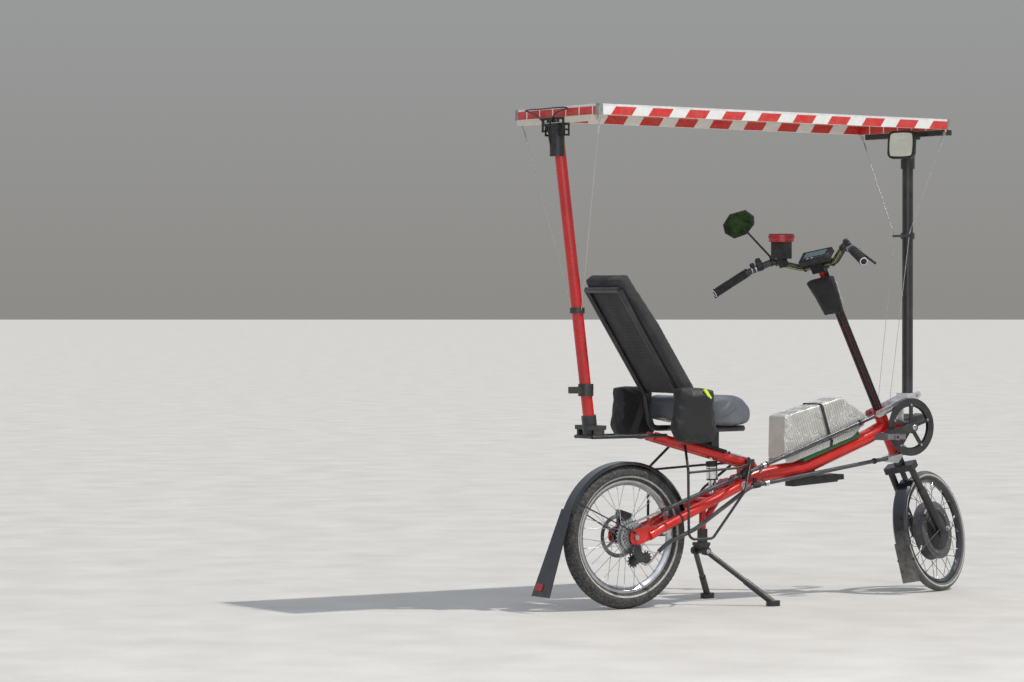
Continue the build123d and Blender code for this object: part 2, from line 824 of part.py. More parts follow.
def stand_leg(side):
    """One leg with its flattened rubber foot, from the spindle to the ground."""
    hip = point(stand_pivot_x, side * 36.0, stand_pivot_z)
    foot_centre = point(stand_foot_x, side * stand_foot_y, 12.0)
    leg = rod(hip, foot_centre, stand_leg_radius)
    sleeve = rod(along(foot_centre, hip, 130.0), foot_centre, stand_leg_radius + 2.5)
    length, width, height = stand_shoe
    shoe = Pos(stand_foot_x, side * stand_foot_y, 0) * extrude(RectangleRounded(length, width, 16), height)
    hub = cross_rod(
        stand_pivot_x, stand_pivot_z, side * 27.0, side * 45.0, 15.0
    )
    whole = leg.fuse(sleeve, shoe, hub)
    spindle = cross_rod(stand_pivot_x, stand_pivot_z, -44.0, 46.0, stand_spindle_radius)
    if side > 0:
        return whole.fuse(spindle)
    return whole - cross_rod(stand_pivot_x, stand_pivot_z, -60, 60, stand_spindle_radius + 0.05)


# Fork, column and bar, in the steering frame
crown_z = -head_length - 6.0
crown_depth = 26.0
crown_floor = crown_z - 34.0 - crown_depth
leg_top_half = 46.0
leg_foot_half = 58.0
leg_top_x = -8.0
leg_foot_x = fork_offset - 30.0
upper_leg_radius = 13.0
lower_leg_radius = 16.5


def front_fork():
    steerer = rod(point(0, 0, crown_z - 10), point(0, 0, -2.0), steerer_radius)
    crown = Pos(-2, 0, crown_floor + crown_depth / 2) * Box(44, 2 * leg_top_half + 34, crown_depth)
    neck = rod(point(0, 0, crown_z - 36), point(0, 0, crown_z), 21.0)
    return steering * steerer.fuse(crown, neck, fork_leg(1), fork_leg(-1))


def fork_leg(side):
    top = point(leg_top_x, side * leg_top_half, crown_z - 56.0)
    foot = point(leg_foot_x, side * leg_foot_half, -front_drop + 6)
    middle = along(top, foot, 92.0)
    upper = rod(top, middle, upper_leg_radius)
    lower = rod(middle, foot, lower_leg_radius)
    inner, outer = sorted((side * fork_inner_half_width, side * (fork_inner_half_width + 9)))
    plate_plane = Plane(origin=(0, outer, 0), x_dir=(1, 0, 0), z_dir=(0, -1, 0))
    reach = fork_offset - leg_foot_x
    outline = Pos(leg_foot_x + reach / 2, -front_drop) * RectangleRounded(reach + 38, 32, 14)
    plate = extrude(plate_plane * outline, outer - inner)
    whole = upper.fuse(lower, plate)
    whole -= cross_rod(
        fork_offset, -front_drop, side * (fork_inner_half_width - 8),
        side * (fork_inner_half_width + 40), front_axle_radius + 0.05,
    )
    return whole


def front_axle_bolt():
    end = fork_inner_half_width + 9
    parts = [cross_rod(fork_offset, -front_drop, -end - 14, end + 14, front_axle_radius)]
    for side in (1, -1):
        nut = Plane(origin=(fork_offset, side * end, -front_drop), z_dir=(0, side, 0)) * RegularPolygon(
            11, 6
        )
        parts.append(extrude(nut, 9))
    return steering * parts[0].fuse(*parts[1:])


front_place = steering * Pos(fork_offset, 0, -front_drop)


def front_tyre():
    return front_place * tyre(front_tyre_radius, front_tyre_section)


front_rim_depth = 17.0
motor_flange_y = 20.0


def front_rim():
    body = rim(12.0, front_rim_depth)
    laced = spokes(
        36, motor_radius + 1.5, motor_flange_y, rim_seat_radius - front_rim_depth + 3, 1,
        spoke_radius, 1.5,
    )
    return front_place * body.fuse(*laced)


def hub_motor():
    """Direct drive hub motor with stepped side covers, turned about its axle."""
    bore = front_axle_radius + hub_running_gap
    outline = (
        (bore, -motor_half_width - 12),
        (24.0, -motor_half_width - 12),
        (30.0, -motor_half_width - 6),
        (62.0, -motor_half_width - 3),
        (68.0, -motor_half_width),
        (motor_radius - 12, -motor_half_width),
        (motor_radius - 8, -motor_flange_y - 1),
        (motor_radius, -motor_flange_y - 1),
        (motor_radius, -motor_flange_y + 2),
        (motor_radius - 4, -motor_flange_y + 3),
        (motor_radius - 4, motor_flange_y - 3),
        (motor_radius, motor_flange_y - 2),
        (motor_radius, motor_flange_y + 1),
        (motor_radius - 8, motor_flange_y + 1),
        (motor_radius - 12, motor_half_width),
        (68.0, motor_half_width),
        (62.0, motor_half_width + 3),
        (30.0, motor_half_width + 6),
        (24.0, motor_half_width + 12),
        (bore, motor_half_width + 12),
    )
    return front_place * turned_profile(outline)


def arc_guard(inner, thickness, half_width, start, end, curl):
    """Mudguard shell about the Y axis between two angles, curled down at its edges."""
    outer = inner + thickness
    section = make_face(
        Polyline(
            (inner - curl, -half_width), (inner, -half_width + curl), (inner, half_width - curl),
            (inner - curl, half_width), (outer - curl, half_width), (outer, half_width - curl),
            (outer, -half_width + curl), (outer - curl, -half_width), close=True,
        )
    )
    turned = revolve(section, Axis.Y, math.degrees(end - start))
    return turned.rotate(Axis.Y, -math.degrees(end))


def flap(radius, angle, length, top_half, foot_half, thickness):
    """Flat flap that runs on from the end of a mudguard, narrow at the top."""
    down = Vector(-math.sin(angle), 0, math.cos(angle))
    start = Vector(radius * math.cos(angle), 0, radius * math.sin(angle))
    out = Vector(math.cos(angle), 0, math.sin(angle))
    plane = Plane(origin=start, x_dir=(0, 1, 0), z_dir=out)
    sign = 1 if plane.y_dir.dot(down) > 0 else -1
    face = make_face(
        Polyline(
            (-top_half, -sign * 14), (top_half, -sign * 14), (foot_half, sign * length),
            (-foot_half, sign * length), close=True,
        )
    )
    return extrude(plane * face, thickness)


front_guard_inner = front_tyre_radius + 14.0
guard_thickness = 2.5
front_guard_start = math.radians(99.0)
front_guard_end = math.radians(166.0)
front_flap_length = 142.0


def front_mudguard():
    shell = arc_guard(
        front_guard_inner, guard_thickness, 31.0, front_guard_start, front_guard_end, 8.0
    )
    tab_low = front_guard_inner * math.sin(front_guard_start) - 3
    tab_high = front_drop + crown_floor - 0.3
    tab = Pos(
        front_guard_inner * math.cos(front_guard_start) - 4, 0, (tab_low + tab_high) / 2
    ) * Box(8, 20, tab_high - tab_low)
    return front_place * shell.fuse(tab, front_flap())


def front_flap():
    return flap(
        front_guard_inner + guard_thickness - 0.5, front_guard_end, front_flap_length, 31.0, 37.0,
        2.5,
    )


rear_guard_inner = rear_tyre_radius + 8.0
rear_guard_start = math.radians(16.0)
rear_guard_end = math.radians(160.0)
rear_flap_length = 318.0


def rear_mudguard():
    shell = arc_guard(
        rear_guard_inner, guard_thickness, 33.0, rear_guard_start, rear_guard_end, 9.0
    )
    parts = []
    for side in (1, -1):
        angle = math.radians(150.0)
        reach = rear_guard_inner - 6
        parts.append(
            rod(
                point(-8, side * (dropout_y + dropout_thickness + 6), 18),
                point(reach * math.cos(angle), side * 34.0, reach * math.sin(angle)), 2.5,
            )
        )
        face = dropout_y + dropout_thickness + 0.3
        parts.append(cross_rod(-8, 18, side * face, side * (face + 9), 4.5))
    return rear_place * shell.fuse(rear_flap(), *parts)


def rear_flap():
    return flap(
        rear_guard_inner + guard_thickness - 0.5, rear_guard_end, rear_flap_length, 32.0, 58.0, 3.0
    )


column_cap_top = 16.0
bar_clamp_low = column_length - 4.0


def bar_clamp():
    return Pos(-6, 0, bar_clamp_low + 20) * Box(46, 54, 40)


def steering_column():
    tube = rod(point(0, 0, 0), point(0, 0, column_length), column_radius)
    cap = rod(point(0, 0, -2.0), point(0, 0, column_cap_top), column_radius + 10)
    passage = bent_rod(bar_path(), bar_radius, bar_bend)
    return steering * (tube.fuse(cap, bar_clamp()) - passage)


bar_bend = 46.0
bar_table = (
    # x, y, z of the left half, from the middle outward
    (-8.0, 70.0, 634.0),
    (-48.0, 160.0, 700.0),
    (-118.0, 228.0, 704.0),
    (-234.0, 325.0, 688.0),
)


def bar_path():
    left = [point(x, y, z) for x, y, z in bar_table]
    right = [point(x, -y, z) for x, y, z in reversed(bar_table)]
    return right + left


def handlebar():
    return steering * bent_rod(bar_path(), bar_radius, bar_bend)


def grip(side):
    x, y, z = bar_table[-1]
    end = point(x, side * y, z)
    x, y, z = bar_table[-2]
    inner = point(x, side * y, z)
    start = along(end, inner, grip_length)
    tip = along(inner, end, (end - inner).length + 5)
    whole = rod(start, tip, grip_radius)
    return steering * (whole - rod(start, end, bar_radius))


def brake_lever(side):
    x, y, z = bar_table[-1]
    end = point(x, side * y, z)
    x, y, z = bar_table[-2]
    inner = point(x, side * y, z)
    clamp_start = along(end, inner, grip_length + 2)
    clamp_end = along(end, inner, grip_length + 16)
    forward = Vector(0.55, side * 0.62, -0.56)
    root = along(end, inner, grip_length + 8) + forward * 24
    lever_end = end + forward * 46 + (end - inner).normalized() * 6
    clamp = rod(clamp_start, clamp_end, 17.0)
    body = rod(along(end, inner, grip_length + 9), root + forward * 6, 10.0)
    blade = rod(root, lever_end, 5.0)
    whole = clamp.fuse(body, blade)
    grip_room = rod(end, along(end, inner, grip_length + 0.3), grip_radius + 0.3)
    return steering * (whole - bent_rod(bar_path(), bar_radius, bar_bend) - grip_room)


display_size = (62.0, 128.0, 22.0)


def display():
    tilt = Rot(0, -14, 0)
    body = Box(*display_size)
    head = Pos(-16, -8, 669) * tilt * body
    stalk = rod(point(-8, 0, column_length + 36.2), point(-14, -3, 666), 9.0)
    return steering * (head.fuse(stalk) - bar_clamp())


def bar_pouch():
    top = Plane(origin=(-column_radius - 22.3, 0, 588)) * RectangleRounded(44, 118, 14)
    low = Plane(origin=(-column_radius - 15.3, 0, 440)) * RectangleRounded(30, 84, 12)
    return steering * loft([low, top])


# The vertical, seen in the steering frame
upright = Vector(turned_x.Z, -math.sin(steer_angle) * math.sin(head_rake), steer_up.Z)


def bar_box():
    neck = Pos(-50, 118, 690) * Box(30, 26, 36)
    stand = Plane(origin=(-50, 118, 703), x_dir=(1, 0, -upright.X / upright.Z), z_dir=upright)
    body = extrude(stand * Rectangle(56, 58), 66)
    lid = extrude(stand.offset(64) * Circle(48), 30)
    return steering * (body.fuse(neck, lid) - bent_rod(bar_path(), bar_radius + 0.2, bar_bend))


mirror_outline = (
    # across and up from the middle of the glass
    (-68.0, -8.0), (-58.0, 22.0), (-18.0, 48.0), (34.0, 50.0), (62.0, 20.0), (58.0, -14.0),
    (20.0, -44.0), (-44.0, -42.0),
)


def bar_mirror():
    face = make_face(Polyline(*mirror_outline, close=True))
    plane = Plane(origin=(-10, 262, 866), x_dir=(-0.25, 1, 0), z_dir=(-1, -0.25, 0.12))
    body = extrude(plane * face, 12)
    stem = rod(point(-50, 158, 714), point(-14, 254, 858), 4.0)
    clamp = rod(point(-50, 156, 688), point(-50, 158, 720), 8.0)
    return steering * (body.fuse(stem, clamp) - bent_rod(bar_path(), bar_radius + 0.2, bar_bend))


cable_radius = 4.2


def column_cables():
    """Sleeved cables behind the column: two go up under the pouch and two to the bar clamp."""
    reach = column_radius + cable_radius + 0.3
    parts = []
    for angle, top in ((180.0, 440.0), (203.4, 440.0), (234.0, bar_clamp_low), (257.4, bar_clamp_low)):
        x = reach * math.cos(math.radians(angle))
        y = reach * math.sin(math.radians(angle))
        parts.append(rod(point(x, y, column_cap_top + 0.3), point(x, y, top - 0.3), cable_radius))
    return [steering * part for part in parts]


# Rails beside the head and the front mast
rail_rear = (1150.0, 688.0)
rail_front = (1366.0, 768.0)
rail_slope = math.atan2(rail_front[1] - rail_rear[1], rail_front[0] - rail_rear[0])


def mast_rails():
    parts = []
    length = math.hypot(rail_front[0] - rail_rear[0], rail_front[1] - rail_rear[1])
    for side in (1, -1):
        inner = side * rail_plate_offset
        plane = Plane(
            origin=((rail_front[0] + rail_rear[0]) / 2, inner, (rail_front[1] + rail_rear[1]) / 2),
            x_dir=(math.cos(rail_slope), 0, math.sin(rail_slope)), z_dir=(0, side, 0),
        )
        face = RectangleRounded(length, rail_plate_height, rail_plate_height / 2 - 1)
        parts.append(extrude(plane * face, rail_plate_thickness))
    whole = mast_foot().fuse(rail_bracket(), *parts)
    return whole - rod(
        point(front_mast_x, 0, mast_foot_z), point(front_mast_x, 0, mast_foot_z + 80), mast_radius
    )


def rail_z(x):
    return rail_rear[1] + (x - rail_rear[0]) * math.tan(rail_slope)


def rail_bracket():
    """Block on the boom that carries the two rails and the foot of the front mast."""
    x = front_mast_x - 50
    top = rail_z(x) + 4
    low = bottom_bracket_z + shell_radius - 6
    post = Pos(x, 0, (top + low) / 2) * Box(30, 40, top - low)
    web = cross_rod(x, rail_z(x), -rail_plate_offset, rail_plate_offset, 9.0)
    shell = cross_rod(bottom_bracket_x, bottom_bracket_z, -60, 60, shell_radius + 0.05)
    return post.fuse(web) - boom_tube(0.05) - shell


mast_foot_z = 735.0
front_mast_top = roof_front_z - 30.0


def front_mast():
    tube = rod(point(front_mast_x, 0, mast_foot_z), point(front_mast_x, 0, front_mast_top), mast_radius)
    return tube


def mast_foot():
    return Pos(front_mast_x, 0, mast_foot_z + 12) * Box(56, 2 * rail_plate_offset, 44)


# Lengthwise slope of the roof
roof_slope = math.atan2(roof_rear_z - roof_front_z, roof_length)
roof_middle = (roof_rear_x + roof_length / 2, (roof_rear_z + roof_front_z) / 2)
roof = Location((roof_middle[0], 0, roof_middle[1]), (0, math.degrees(roof_slope), 0))


def roof_frame():
    face = Rectangle(roof_length, roof_width) - Rectangle(
        roof_length - 2 * roof_rail_width, roof_width - 2 * roof_rail_width
    )
    return roof * extrude(face, roof_rail_height)


def roof_panel():
    return roof * Pos(0, 0, roof_rail_height - roof_panel_thickness / 2 - 2) * Box(
        roof_length - 2 * roof_rail_width, roof_width - 2 * roof_rail_width, roof_panel_thickness
    )


def roof_under_z(x):
    return roof_middle[1] - (x - roof_middle[0]) * math.tan(roof_slope)


roof_beam_height = 20.0
roof_beam_length = roof_width - 60.0


def roof_beam(x):
    """Cross beam under the panel between the side rails, on top of a mast."""
    low = roof_under_z(x) - roof_beam_height
    return Pos(x, 0, low + roof_beam_height / 2 - 0.3) * Box(34, roof_beam_length, roof_beam_height)


def mast_head(x):
    """Clamp on top of a mast that holds the cross beam."""
    top = roof_under_z(x) - roof_beam_height - 0.3
    sleeve_low = top - 120
    sleeve = rod(point(x, 0, sleeve_low), point(x, 0, top - 8), mast_radius + 6)
    plate = Pos(x, 0, top - 4) * Box(50, 90, 8.6)
    return sleeve.fuse(plate, roof_beam(x))


def front_mast_head():
    whole = mast_head(front_mast_x)
    return whole - rod(point(front_mast_x, 0, 0), point(front_mast_x, 0, front_mast_top + 0.1),
                       mast_radius + 0.1)


rear_mast_low = 640.0
rear_mast_high = roof_rear_z - 30.0


def rear_mast_line():
    return point(rear_mast_foot_x, 0, rear_mast_low), point(rear_mast_top_x, 0, rear_mast_high)


def rear_mast():
    start, end = rear_mast_line()
    return rod(start, end, mast_radius)


def rear_mast_head():
    start, end = rear_mast_line()
    whole = mast_head(end.X)
    return whole - rod(start, along(start, end, (end - start).length + 0.1), mast_radius + 0.1)


# Seat
seat_floor_z = 664.0
seat_nose_x = 529.0
seat_front = (
    # x, z of the seat base in side view, nose first
    (seat_nose_x, seat_floor_z + 32), (seat_nose_x - 18, seat_floor_z + 66),
    (seat_nose_x - 64, seat_floor_z + 100), (408.0, seat_floor_z + 112), (300.0, seat_floor_z + 104),
    (222.0, seat_floor_z + 112), (206.0, seat_floor_z + 26), (300.0, seat_floor_z + 8),
    (408.0, seat_floor_z), (seat_nose_x - 34, seat_floor_z + 4),
)


def seat_base():
    side = side_plate(seat_front, -seat_half_width, seat_half_width)
    plan = make_face(
        Polyline(
            (seat_nose_x + 4, -seat_nose_half_width * 0.6), (seat_nose_x - 20, -seat_nose_half_width),
            (380, -seat_half_width * 0.86), (300, -seat_half_width), (200, -seat_half_width),
            (200, seat_half_width), (300, seat_half_width), (380, seat_half_width * 0.86),
            (seat_nose_x - 20, seat_nose_half_width), (seat_nose_x + 4, seat_nose_half_width * 0.6),
            close=True,
        )
    )
    column = extrude(Pos(0, 0, 600) * plan, 250)
    return side & column


back_foot = (222.0, 800.0)
back_dir = Vector(-math.cos(seat_back_angle), 0, math.sin(seat_back_angle))
back_normal = Vector(math.sin(seat_back_angle), 0, math.cos(seat_back_angle))


def seat_back():
    plane = Plane(origin=(back_foot[0], 0, back_foot[1]), x_dir=(0, 1, 0), z_dir=back_normal)
    sign = 1 if plane.y_dir.dot(back_dir) > 0 else -1
    face = make_face(
        Polyline(
            (-150, 0), (150, 0), (150, sign * 300), (118, sign * seat_back_length),
            (-118, sign * seat_back_length), (-150, sign * 300), close=True,
        )
    )
    return extrude(plane * face, -seat_back_thickness)


back_frame_radius = 11.0
seat_post_x = (386.0, 260.0)
seat_rail_z = seat_floor_z - back_frame_radius - 0.3


def seat_frame():
    """Tube loop behind the seat back that runs down to a rail under the seat base."""
    drop = back_normal * (seat_back_thickness + back_frame_radius + 0.3)
    base = point(back_foot[0], 0, back_foot[1]) - drop
    top = base + back_dir * (seat_back_length - 40)
    parts = []
    for side in (1, -1):
        across = Vector(0, side * 105, 0)
        low = point(base.X, 0, base.Z) + across
        bend = point(base.X + 14, side * 105, seat_rail_z)
        front = point(seat_nose_x - 42, side * 70, seat_rail_z)
        parts.append(bent_rod([top + across, low + back_dir * 10, bend, front], back_frame_radius, 40.0))
    parts.append(rod(top + Vector(0, 105, 0), top - Vector(0, 105, 0), back_frame_radius))
    parts.append(
        rod(point(seat_nose_x - 60, -73, seat_rail_z), point(seat_nose_x - 60, 73, seat_rail_z),
            back_frame_radius - 1)
    )
    for x in seat_post_x:
        parts.append(rod(point(x, -88, seat_rail_z), point(x, 88, seat_rail_z), back_frame_radius - 1))
    return parts[0].fuse(seat_mount(), *parts[1:])


def seat_mount():
    """Clamps between the seat tubes and the rails under the seat base."""
    parts = []
    for x in seat_post_x:
        low = seat_tube_z(x) + seat_tube_radius * 0.8
        top = seat_rail_z - 6.7
        post = Pos(x, 0, (low + top) / 2) * Box(34, 2 * seat_tube_offset + 20, top - low)
        parts.append(post)
    rail = rod(
        point(seat_post_x[0], 0, seat_tube_z(seat_post_x[0]) + seat_tube_radius + 4),
        point(seat_post_x[1], 0, seat_tube_z(seat_post_x[1]) + seat_tube_radius + 4), 9.0,
    )
    whole = parts[0].fuse(parts[1], rail)
    tubes = rod(point(joint_x, seat_tube_offset, joint_z),
                point(seat_tube_end_x, seat_tube_offset, seat_tube_end_z), seat_tube_radius + 0.05)
    other = rod(point(joint_x, -seat_tube_offset, joint_z),
                point(seat_tube_end_x, -seat_tube_offset, seat_tube_end_z), seat_tube_radius + 0.05)
    return whole - tubes - other


def seat_bag(side):
    """Side bag beside the seat base."""
    inner, outer = sorted((side * (seat_half_width + 0.3), side * (seat_half_width + 58)))
    outline = (
        (92.0, 812.0), (250.0, 806.0), (268.0, 640.0), (240.0, 606.0), (100.0, 612.0), (74.0, 660.0),
    )
    return side_plate(outline, inner, outer)


# Rear rack above the wheel, which carries the foot of the rear mast
rack_rail_y = 54.0
rack_radius = 7.0
rack_z = 632.0
rack_rear_x = rear_mast_foot_x - 30.0


def rear_rack():
    parts = []
    for side in (1, -1):
        path = [
            point(rack_rear_x, side * rack_rail_y, rack_z),
            point(seat_tube_end_x + 30, side * rack_rail_y, rack_z),
        ]
        parts.append(rod(path[0], path[1], rack_radius))
    for x in (rack_rear_x, rear_mast_foot_x + 50, -10.0, seat_tube_end_x + 6):
        parts.append(
            rod(point(x, -rack_rail_y, rack_z), point(x, rack_rail_y, rack_z), rack_radius - 1)
        )
    whole = parts[0].fuse(mast_socket(), *parts[1:])
    start, end = rear_mast_line()
    return whole - seat_tubes() - rod(start, end, mast_radius)


def mast_socket():
    """Foot of the rear mast on the rack."""
    start, end = rear_mast_line()
    block = Pos(rear_mast_foot_x, 0, rack_z + 34) * Box(54, 2 * rack_rail_y + 16, 16)
    cup = rod(start - Vector(0, 0, 4), along(start, end, 70.0), mast_radius + 6)
    feet = []
    for side in (1, -1):
        feet.append(
            Pos(rear_mast_foot_x, side * rack_rail_y, rack_z + 18) * Box(40, 12, 26)
        )
    return block.fuse(cup, *feet)


lowrider_y = 130.0
lowrider_low_z = 253.0
lowrider_top_z = 505.0
lowrider_rear_x = 196.0
lowrider_joint = (535.0, 50.0, 519.0)


def lowrider(side):
    """Bent rod loop for a pannier beside the swing arm, clamped to the seat tube at both ends."""
    y = side * lowrider_y
    radius = 5.0
    joint = point(lowrider_joint[0], side * lowrider_joint[1], lowrider_joint[2])
    front_x = 304.0
    knee_x = 452.0
    rise = (joint.Z - lowrider_low_z) / (joint.X - front_x)
    loop = [
        point(240, side * 44.6, seat_tube_z(240) - 4), point(lowrider_rear_x, y * 0.97, lowrider_top_z),
        point(lowrider_rear_x, y, lowrider_low_z), point(front_x, y, lowrider_low_z),
        point(knee_x, y, lowrider_low_z + (knee_x - front_x) * rise), joint,
    ]
    top = [
        point(lowrider_rear_x + 2, y * 0.98, lowrider_top_z - 8), point(430, y * 0.94, lowrider_top_z + 4),
        joint,
    ]
    clamp_near = seat_tube_offset + seat_tube_radius + 0.3
    clamp = Pos(joint.X, side * (clamp_near + 6), joint.Z + 4) * Box(36, 12, 24)
    return bent_rod(loop, radius, 28.0).fuse(bent_rod(top, radius - 0.5, 28.0), clamp)


# Battery in an insulated cover on top of the main tube
tube_lean = math.atan2(604.0 - 493.0, 1130.0 - 816.0)
cover_outline = (
    (690.0, 531.0), (704.0, 699.0), (846.0, 760.0), (980.0, 764.0), (1100.0, 690.0),
    (1060.0, 661.0),
)
cover_near = -41.0
cover_far = 68.0


def battery_cover():
    return side_plate(cover_outline, cover_near, cover_far)


def cover_floor(x):
    """Lower edge of the battery cover at x."""
    rear_x, rear_z = cover_outline[0]
    front_x, front_z = cover_outline[-1]
    return rear_z + (x - rear_x) * (front_z - rear_z) / (front_x - rear_x)


pack_rear_x = 806.0
pack_front_x = 1050.0
pack_seat_gap = 0.3


def battery_pack():
    """Battery tray between the main tube and the cover."""
    top_rear = cover_floor(pack_rear_x) - pack_seat_gap
    top_front = cover_floor(pack_front_x) - pack_seat_gap
    outline = (
        (pack_rear_x, top_rear), (pack_front_x, top_front), (pack_front_x + 20, top_front - 50),
        (pack_rear_x - 8, top_rear - 54),
    )
    tray = side_plate(outline, cover_near + 6, cover_far - 20)
    return tray - main_tube(pack_seat_gap)


def controller():
    """Motor controller under the main tube."""
    tilt = Rot(0, -3.5, 0)
    body = Pos(852, -14, 448) * tilt * Box(212, 52, 30)
    plug = Pos(972, -14, 455.5) * tilt * Box(42, 38, 20)
    lug = Pos(852, 0, 470) * Box(40, 20, 40)
    return body.fuse(plug, lug) - main_tube(pack_seat_gap)


stay_bar_z = 1375.0
stay_bar_x = front_mast_x - mast_radius - 9.0
stay_bar_half = 50.0
stay_bar_radius = 5.0
rear_collar_z = 1090.0
wire_radius = 1.0
corner_inset = 15.0


def rear_mast_at(z):
    """Middle of the rear mast at a height."""
    start, end = rear_mast_line()
    return start + (end - start) * ((z - start.Z) / (end.Z - start.Z))


def stay_wires():
    """Taut steel wires from the roof's corners to the two masts, and on down to the rails."""
    wires = []
    touch = stay_bar_radius + wire_radius
    for side in (1, -1):
        across = side * (roof_width / 2 - corner_inset)
        front_x = roof_rear_x + roof_length - corner_inset
        rear_x = roof_rear_x + corner_inset
        front_corner = point(front_x, across, roof_under_z(front_x) - wire_radius - 0.3)
        rear_corner = point(rear_x, across, roof_under_z(rear_x) - wire_radius - 0.3)
        bar_y = side * (stay_bar_half - 5)
        wires.append(rod(front_corner, point(stay_bar_x, bar_y, stay_bar_z + touch), wire_radius))
        bar_end = point(stay_bar_x, bar_y, stay_bar_z - touch)
        rail_x = 1212.0
        rail_top = rail_z(rail_x) + rail_plate_height / 2 + 2.2
        wires.append(rod(bar_end, point(rail_x, side * (rail_plate_offset + 2.5), rail_top), wire_radius))
        collar = rear_mast_at(rear_collar_z + 2)
        reach = mast_radius + 6 + wire_radius + 0.4
        wires.append(rod(rear_corner, collar + Vector(0, side * reach, 0), wire_radius))
    return wires


def collar_on(centre, radius, height):
    """Clamp ring round a mast."""
    return rod(centre - Vector(0, 0, height / 2), centre + Vector(0, 0, height / 2), radius)


def mast_collars():
    """Clamps on the masts that gather the stay wires; the front one has a cross bar."""
    mast_hole = rod(point(front_mast_x, 0, stay_bar_z - 20), point(front_mast_x, 0, stay_bar_z + 20),
                    mast_radius + 0.1)
    bar = cross_rod(stay_bar_x, stay_bar_z, -stay_bar_half, stay_bar_half, stay_bar_radius)
    front = collar_on(point(front_mast_x, 0, stay_bar_z), mast_radius + 6, 24).fuse(bar) - mast_hole
    start, end = rear_mast_line()
    rear = collar_on(rear_mast_at(rear_collar_z), mast_radius + 6, 20) - rod(start, end, mast_radius + 0.1)
    return [front, rear]


def roof_mirror():
    plane = Plane(origin=(1262, -52, 1722), x_dir=(0.5, -1, 0), z_dir=(-1, -0.5, 0.1))
    body = extrude(plane * RectangleRounded(112, 108, 24), 16)
    arm = rod(point(1254, -46, 1722), point(front_mast_x, 0, 1722), 5.0)
    sleeve = rod(point(front_mast_x, 0, 1600), point(front_mast_x, 0, 1800), mast_radius + 6.3)
    return body.fuse(arm) - sleeve


hitch_z = 802.0
hitch_reach = 54.0
hitch_bore = 8.0


def hitch():
    """Coupling behind the seat for a tow bar."""
    start, end = rear_mast_line()
    centre = rear_mast_at(hitch_z)
    x, z = centre.X, centre.Z
    collar = collar_on(centre, mast_radius + 7, 44)
    ear = Pos(x - hitch_reach / 2 - 10, 0, z) * Box(hitch_reach + 8, 26, 24)
    hole = rod(point(x - hitch_reach, 0, z - 40), point(x - hitch_reach, 0, z + 40), hitch_bore)
    whole = collar.fuse(ear) - hole
    return whole - rod(start, end, mast_radius + 0.1)


# Every piece by name
pieces = {
    "main_frame": main_frame(),
    "swing_arm": swing_arm(),
    "rear_shock": rear_shock(),
    "rear_axle": rear_axle_bolt(),
    "rear_tyre": rear_tyre(),
    "rear_rim": rear_rim(),
    "rear_hub": rear_hub(),
    "rear_cassette": cassette(),
    "rear_brake_disc": brake_disc(),
    "rear_brake_caliper": rear_caliper(),
    "chain_tubes": [chain_tube_upper(), chain_tube_lower()],
    "chain_clips": chain_clips(),
    "chain": [chain_strand(chain_front), chain_strand(chain_rear)],
    "chainset": chainset(),
    "cranks": cranks(),
    "pedal_right": pedal(-1),
    "pedal_left": pedal(1),
    "derailleur": derailleur(),
    "stand_bracket": stand_bracket(),
    "stand_leg_left": stand_leg(1),
    "stand_leg_right": stand_leg(-1),
    "front_fork": front_fork(),
    "front_axle": front_axle_bolt(),
    "front_tyre": front_tyre(),
    "front_rim": front_rim(),
    "front_hub_motor": hub_motor(),
    "front_mudguard": front_mudguard(),
    "rear_mudguard": rear_mudguard(),
    "steering_column": steering_column(),
    "handlebar": handlebar(),
    "grips": [grip(1), grip(-1)],
    "brake_levers": [brake_lever(1), brake_lever(-1)],
    "bar_display": display(),
    "bar_pouch": bar_pouch(),
    "bar_box": bar_box(),
    "bar_mirror": bar_mirror(),
    "column_cables": column_cables(),
    "mast_rails": mast_rails(),
    "front_mast": front_mast(),
    "mast_heads": [front_mast_head(), rear_mast_head()],
    "mast_collars": mast_collars(),
    "stay_wires": stay_wires(),
    "roof_mirror": roof_mirror(),
    "roof_frame": roof_frame(),
    "roof_panel": roof_panel(),
    "rear_mast": rear_mast(),
    "rear_rack": rear_rack(),
    "seat_base": seat_base(),
    "seat_back": seat_back(),
    "seat_frame": seat_frame(),
    "seat_bags": [seat_bag(1), seat_bag(-1)],
    "lowriders": [lowrider(1), lowrider(-1)],
    "battery_pack": battery_pack(),
    "battery_cover": battery_cover(),
    "motor_controller": controller(),
    "tow_hitch": hitch(),
}


def solids_of(piece):
    """Solids of a piece that is one shape or a list of them."""
    solids = []
    for item in piece if isinstance(piece, list) else [piece]:
        solids.extend(item.solids())
    return solids


solids = {name: solids_of(piece) for name, piece in pieces.items()}

# The part's origin is on the ground under the middle of its outline
whole_box = Compound([solid for group in solids.values() for solid in group]).bounding_box()
middle = whole_box.center()
shift = Vector(-middle.X, -middle.Y, -whole_box.min.Z)

os.makedirs("parts", exist_ok=True)
for name, group in solids.items():
    moved = [solid.moved(Location(shift)) for solid in group]
    shape = Compound(moved) if len(moved) > 1 else moved[0]
    export_step(shape, f"parts/{name}.step")
print("shift", shift.X, shift.Y, shift.Z)
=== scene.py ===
import json
import math
import bpy
import bmesh
from mathutils import Matrix, Vector, noise


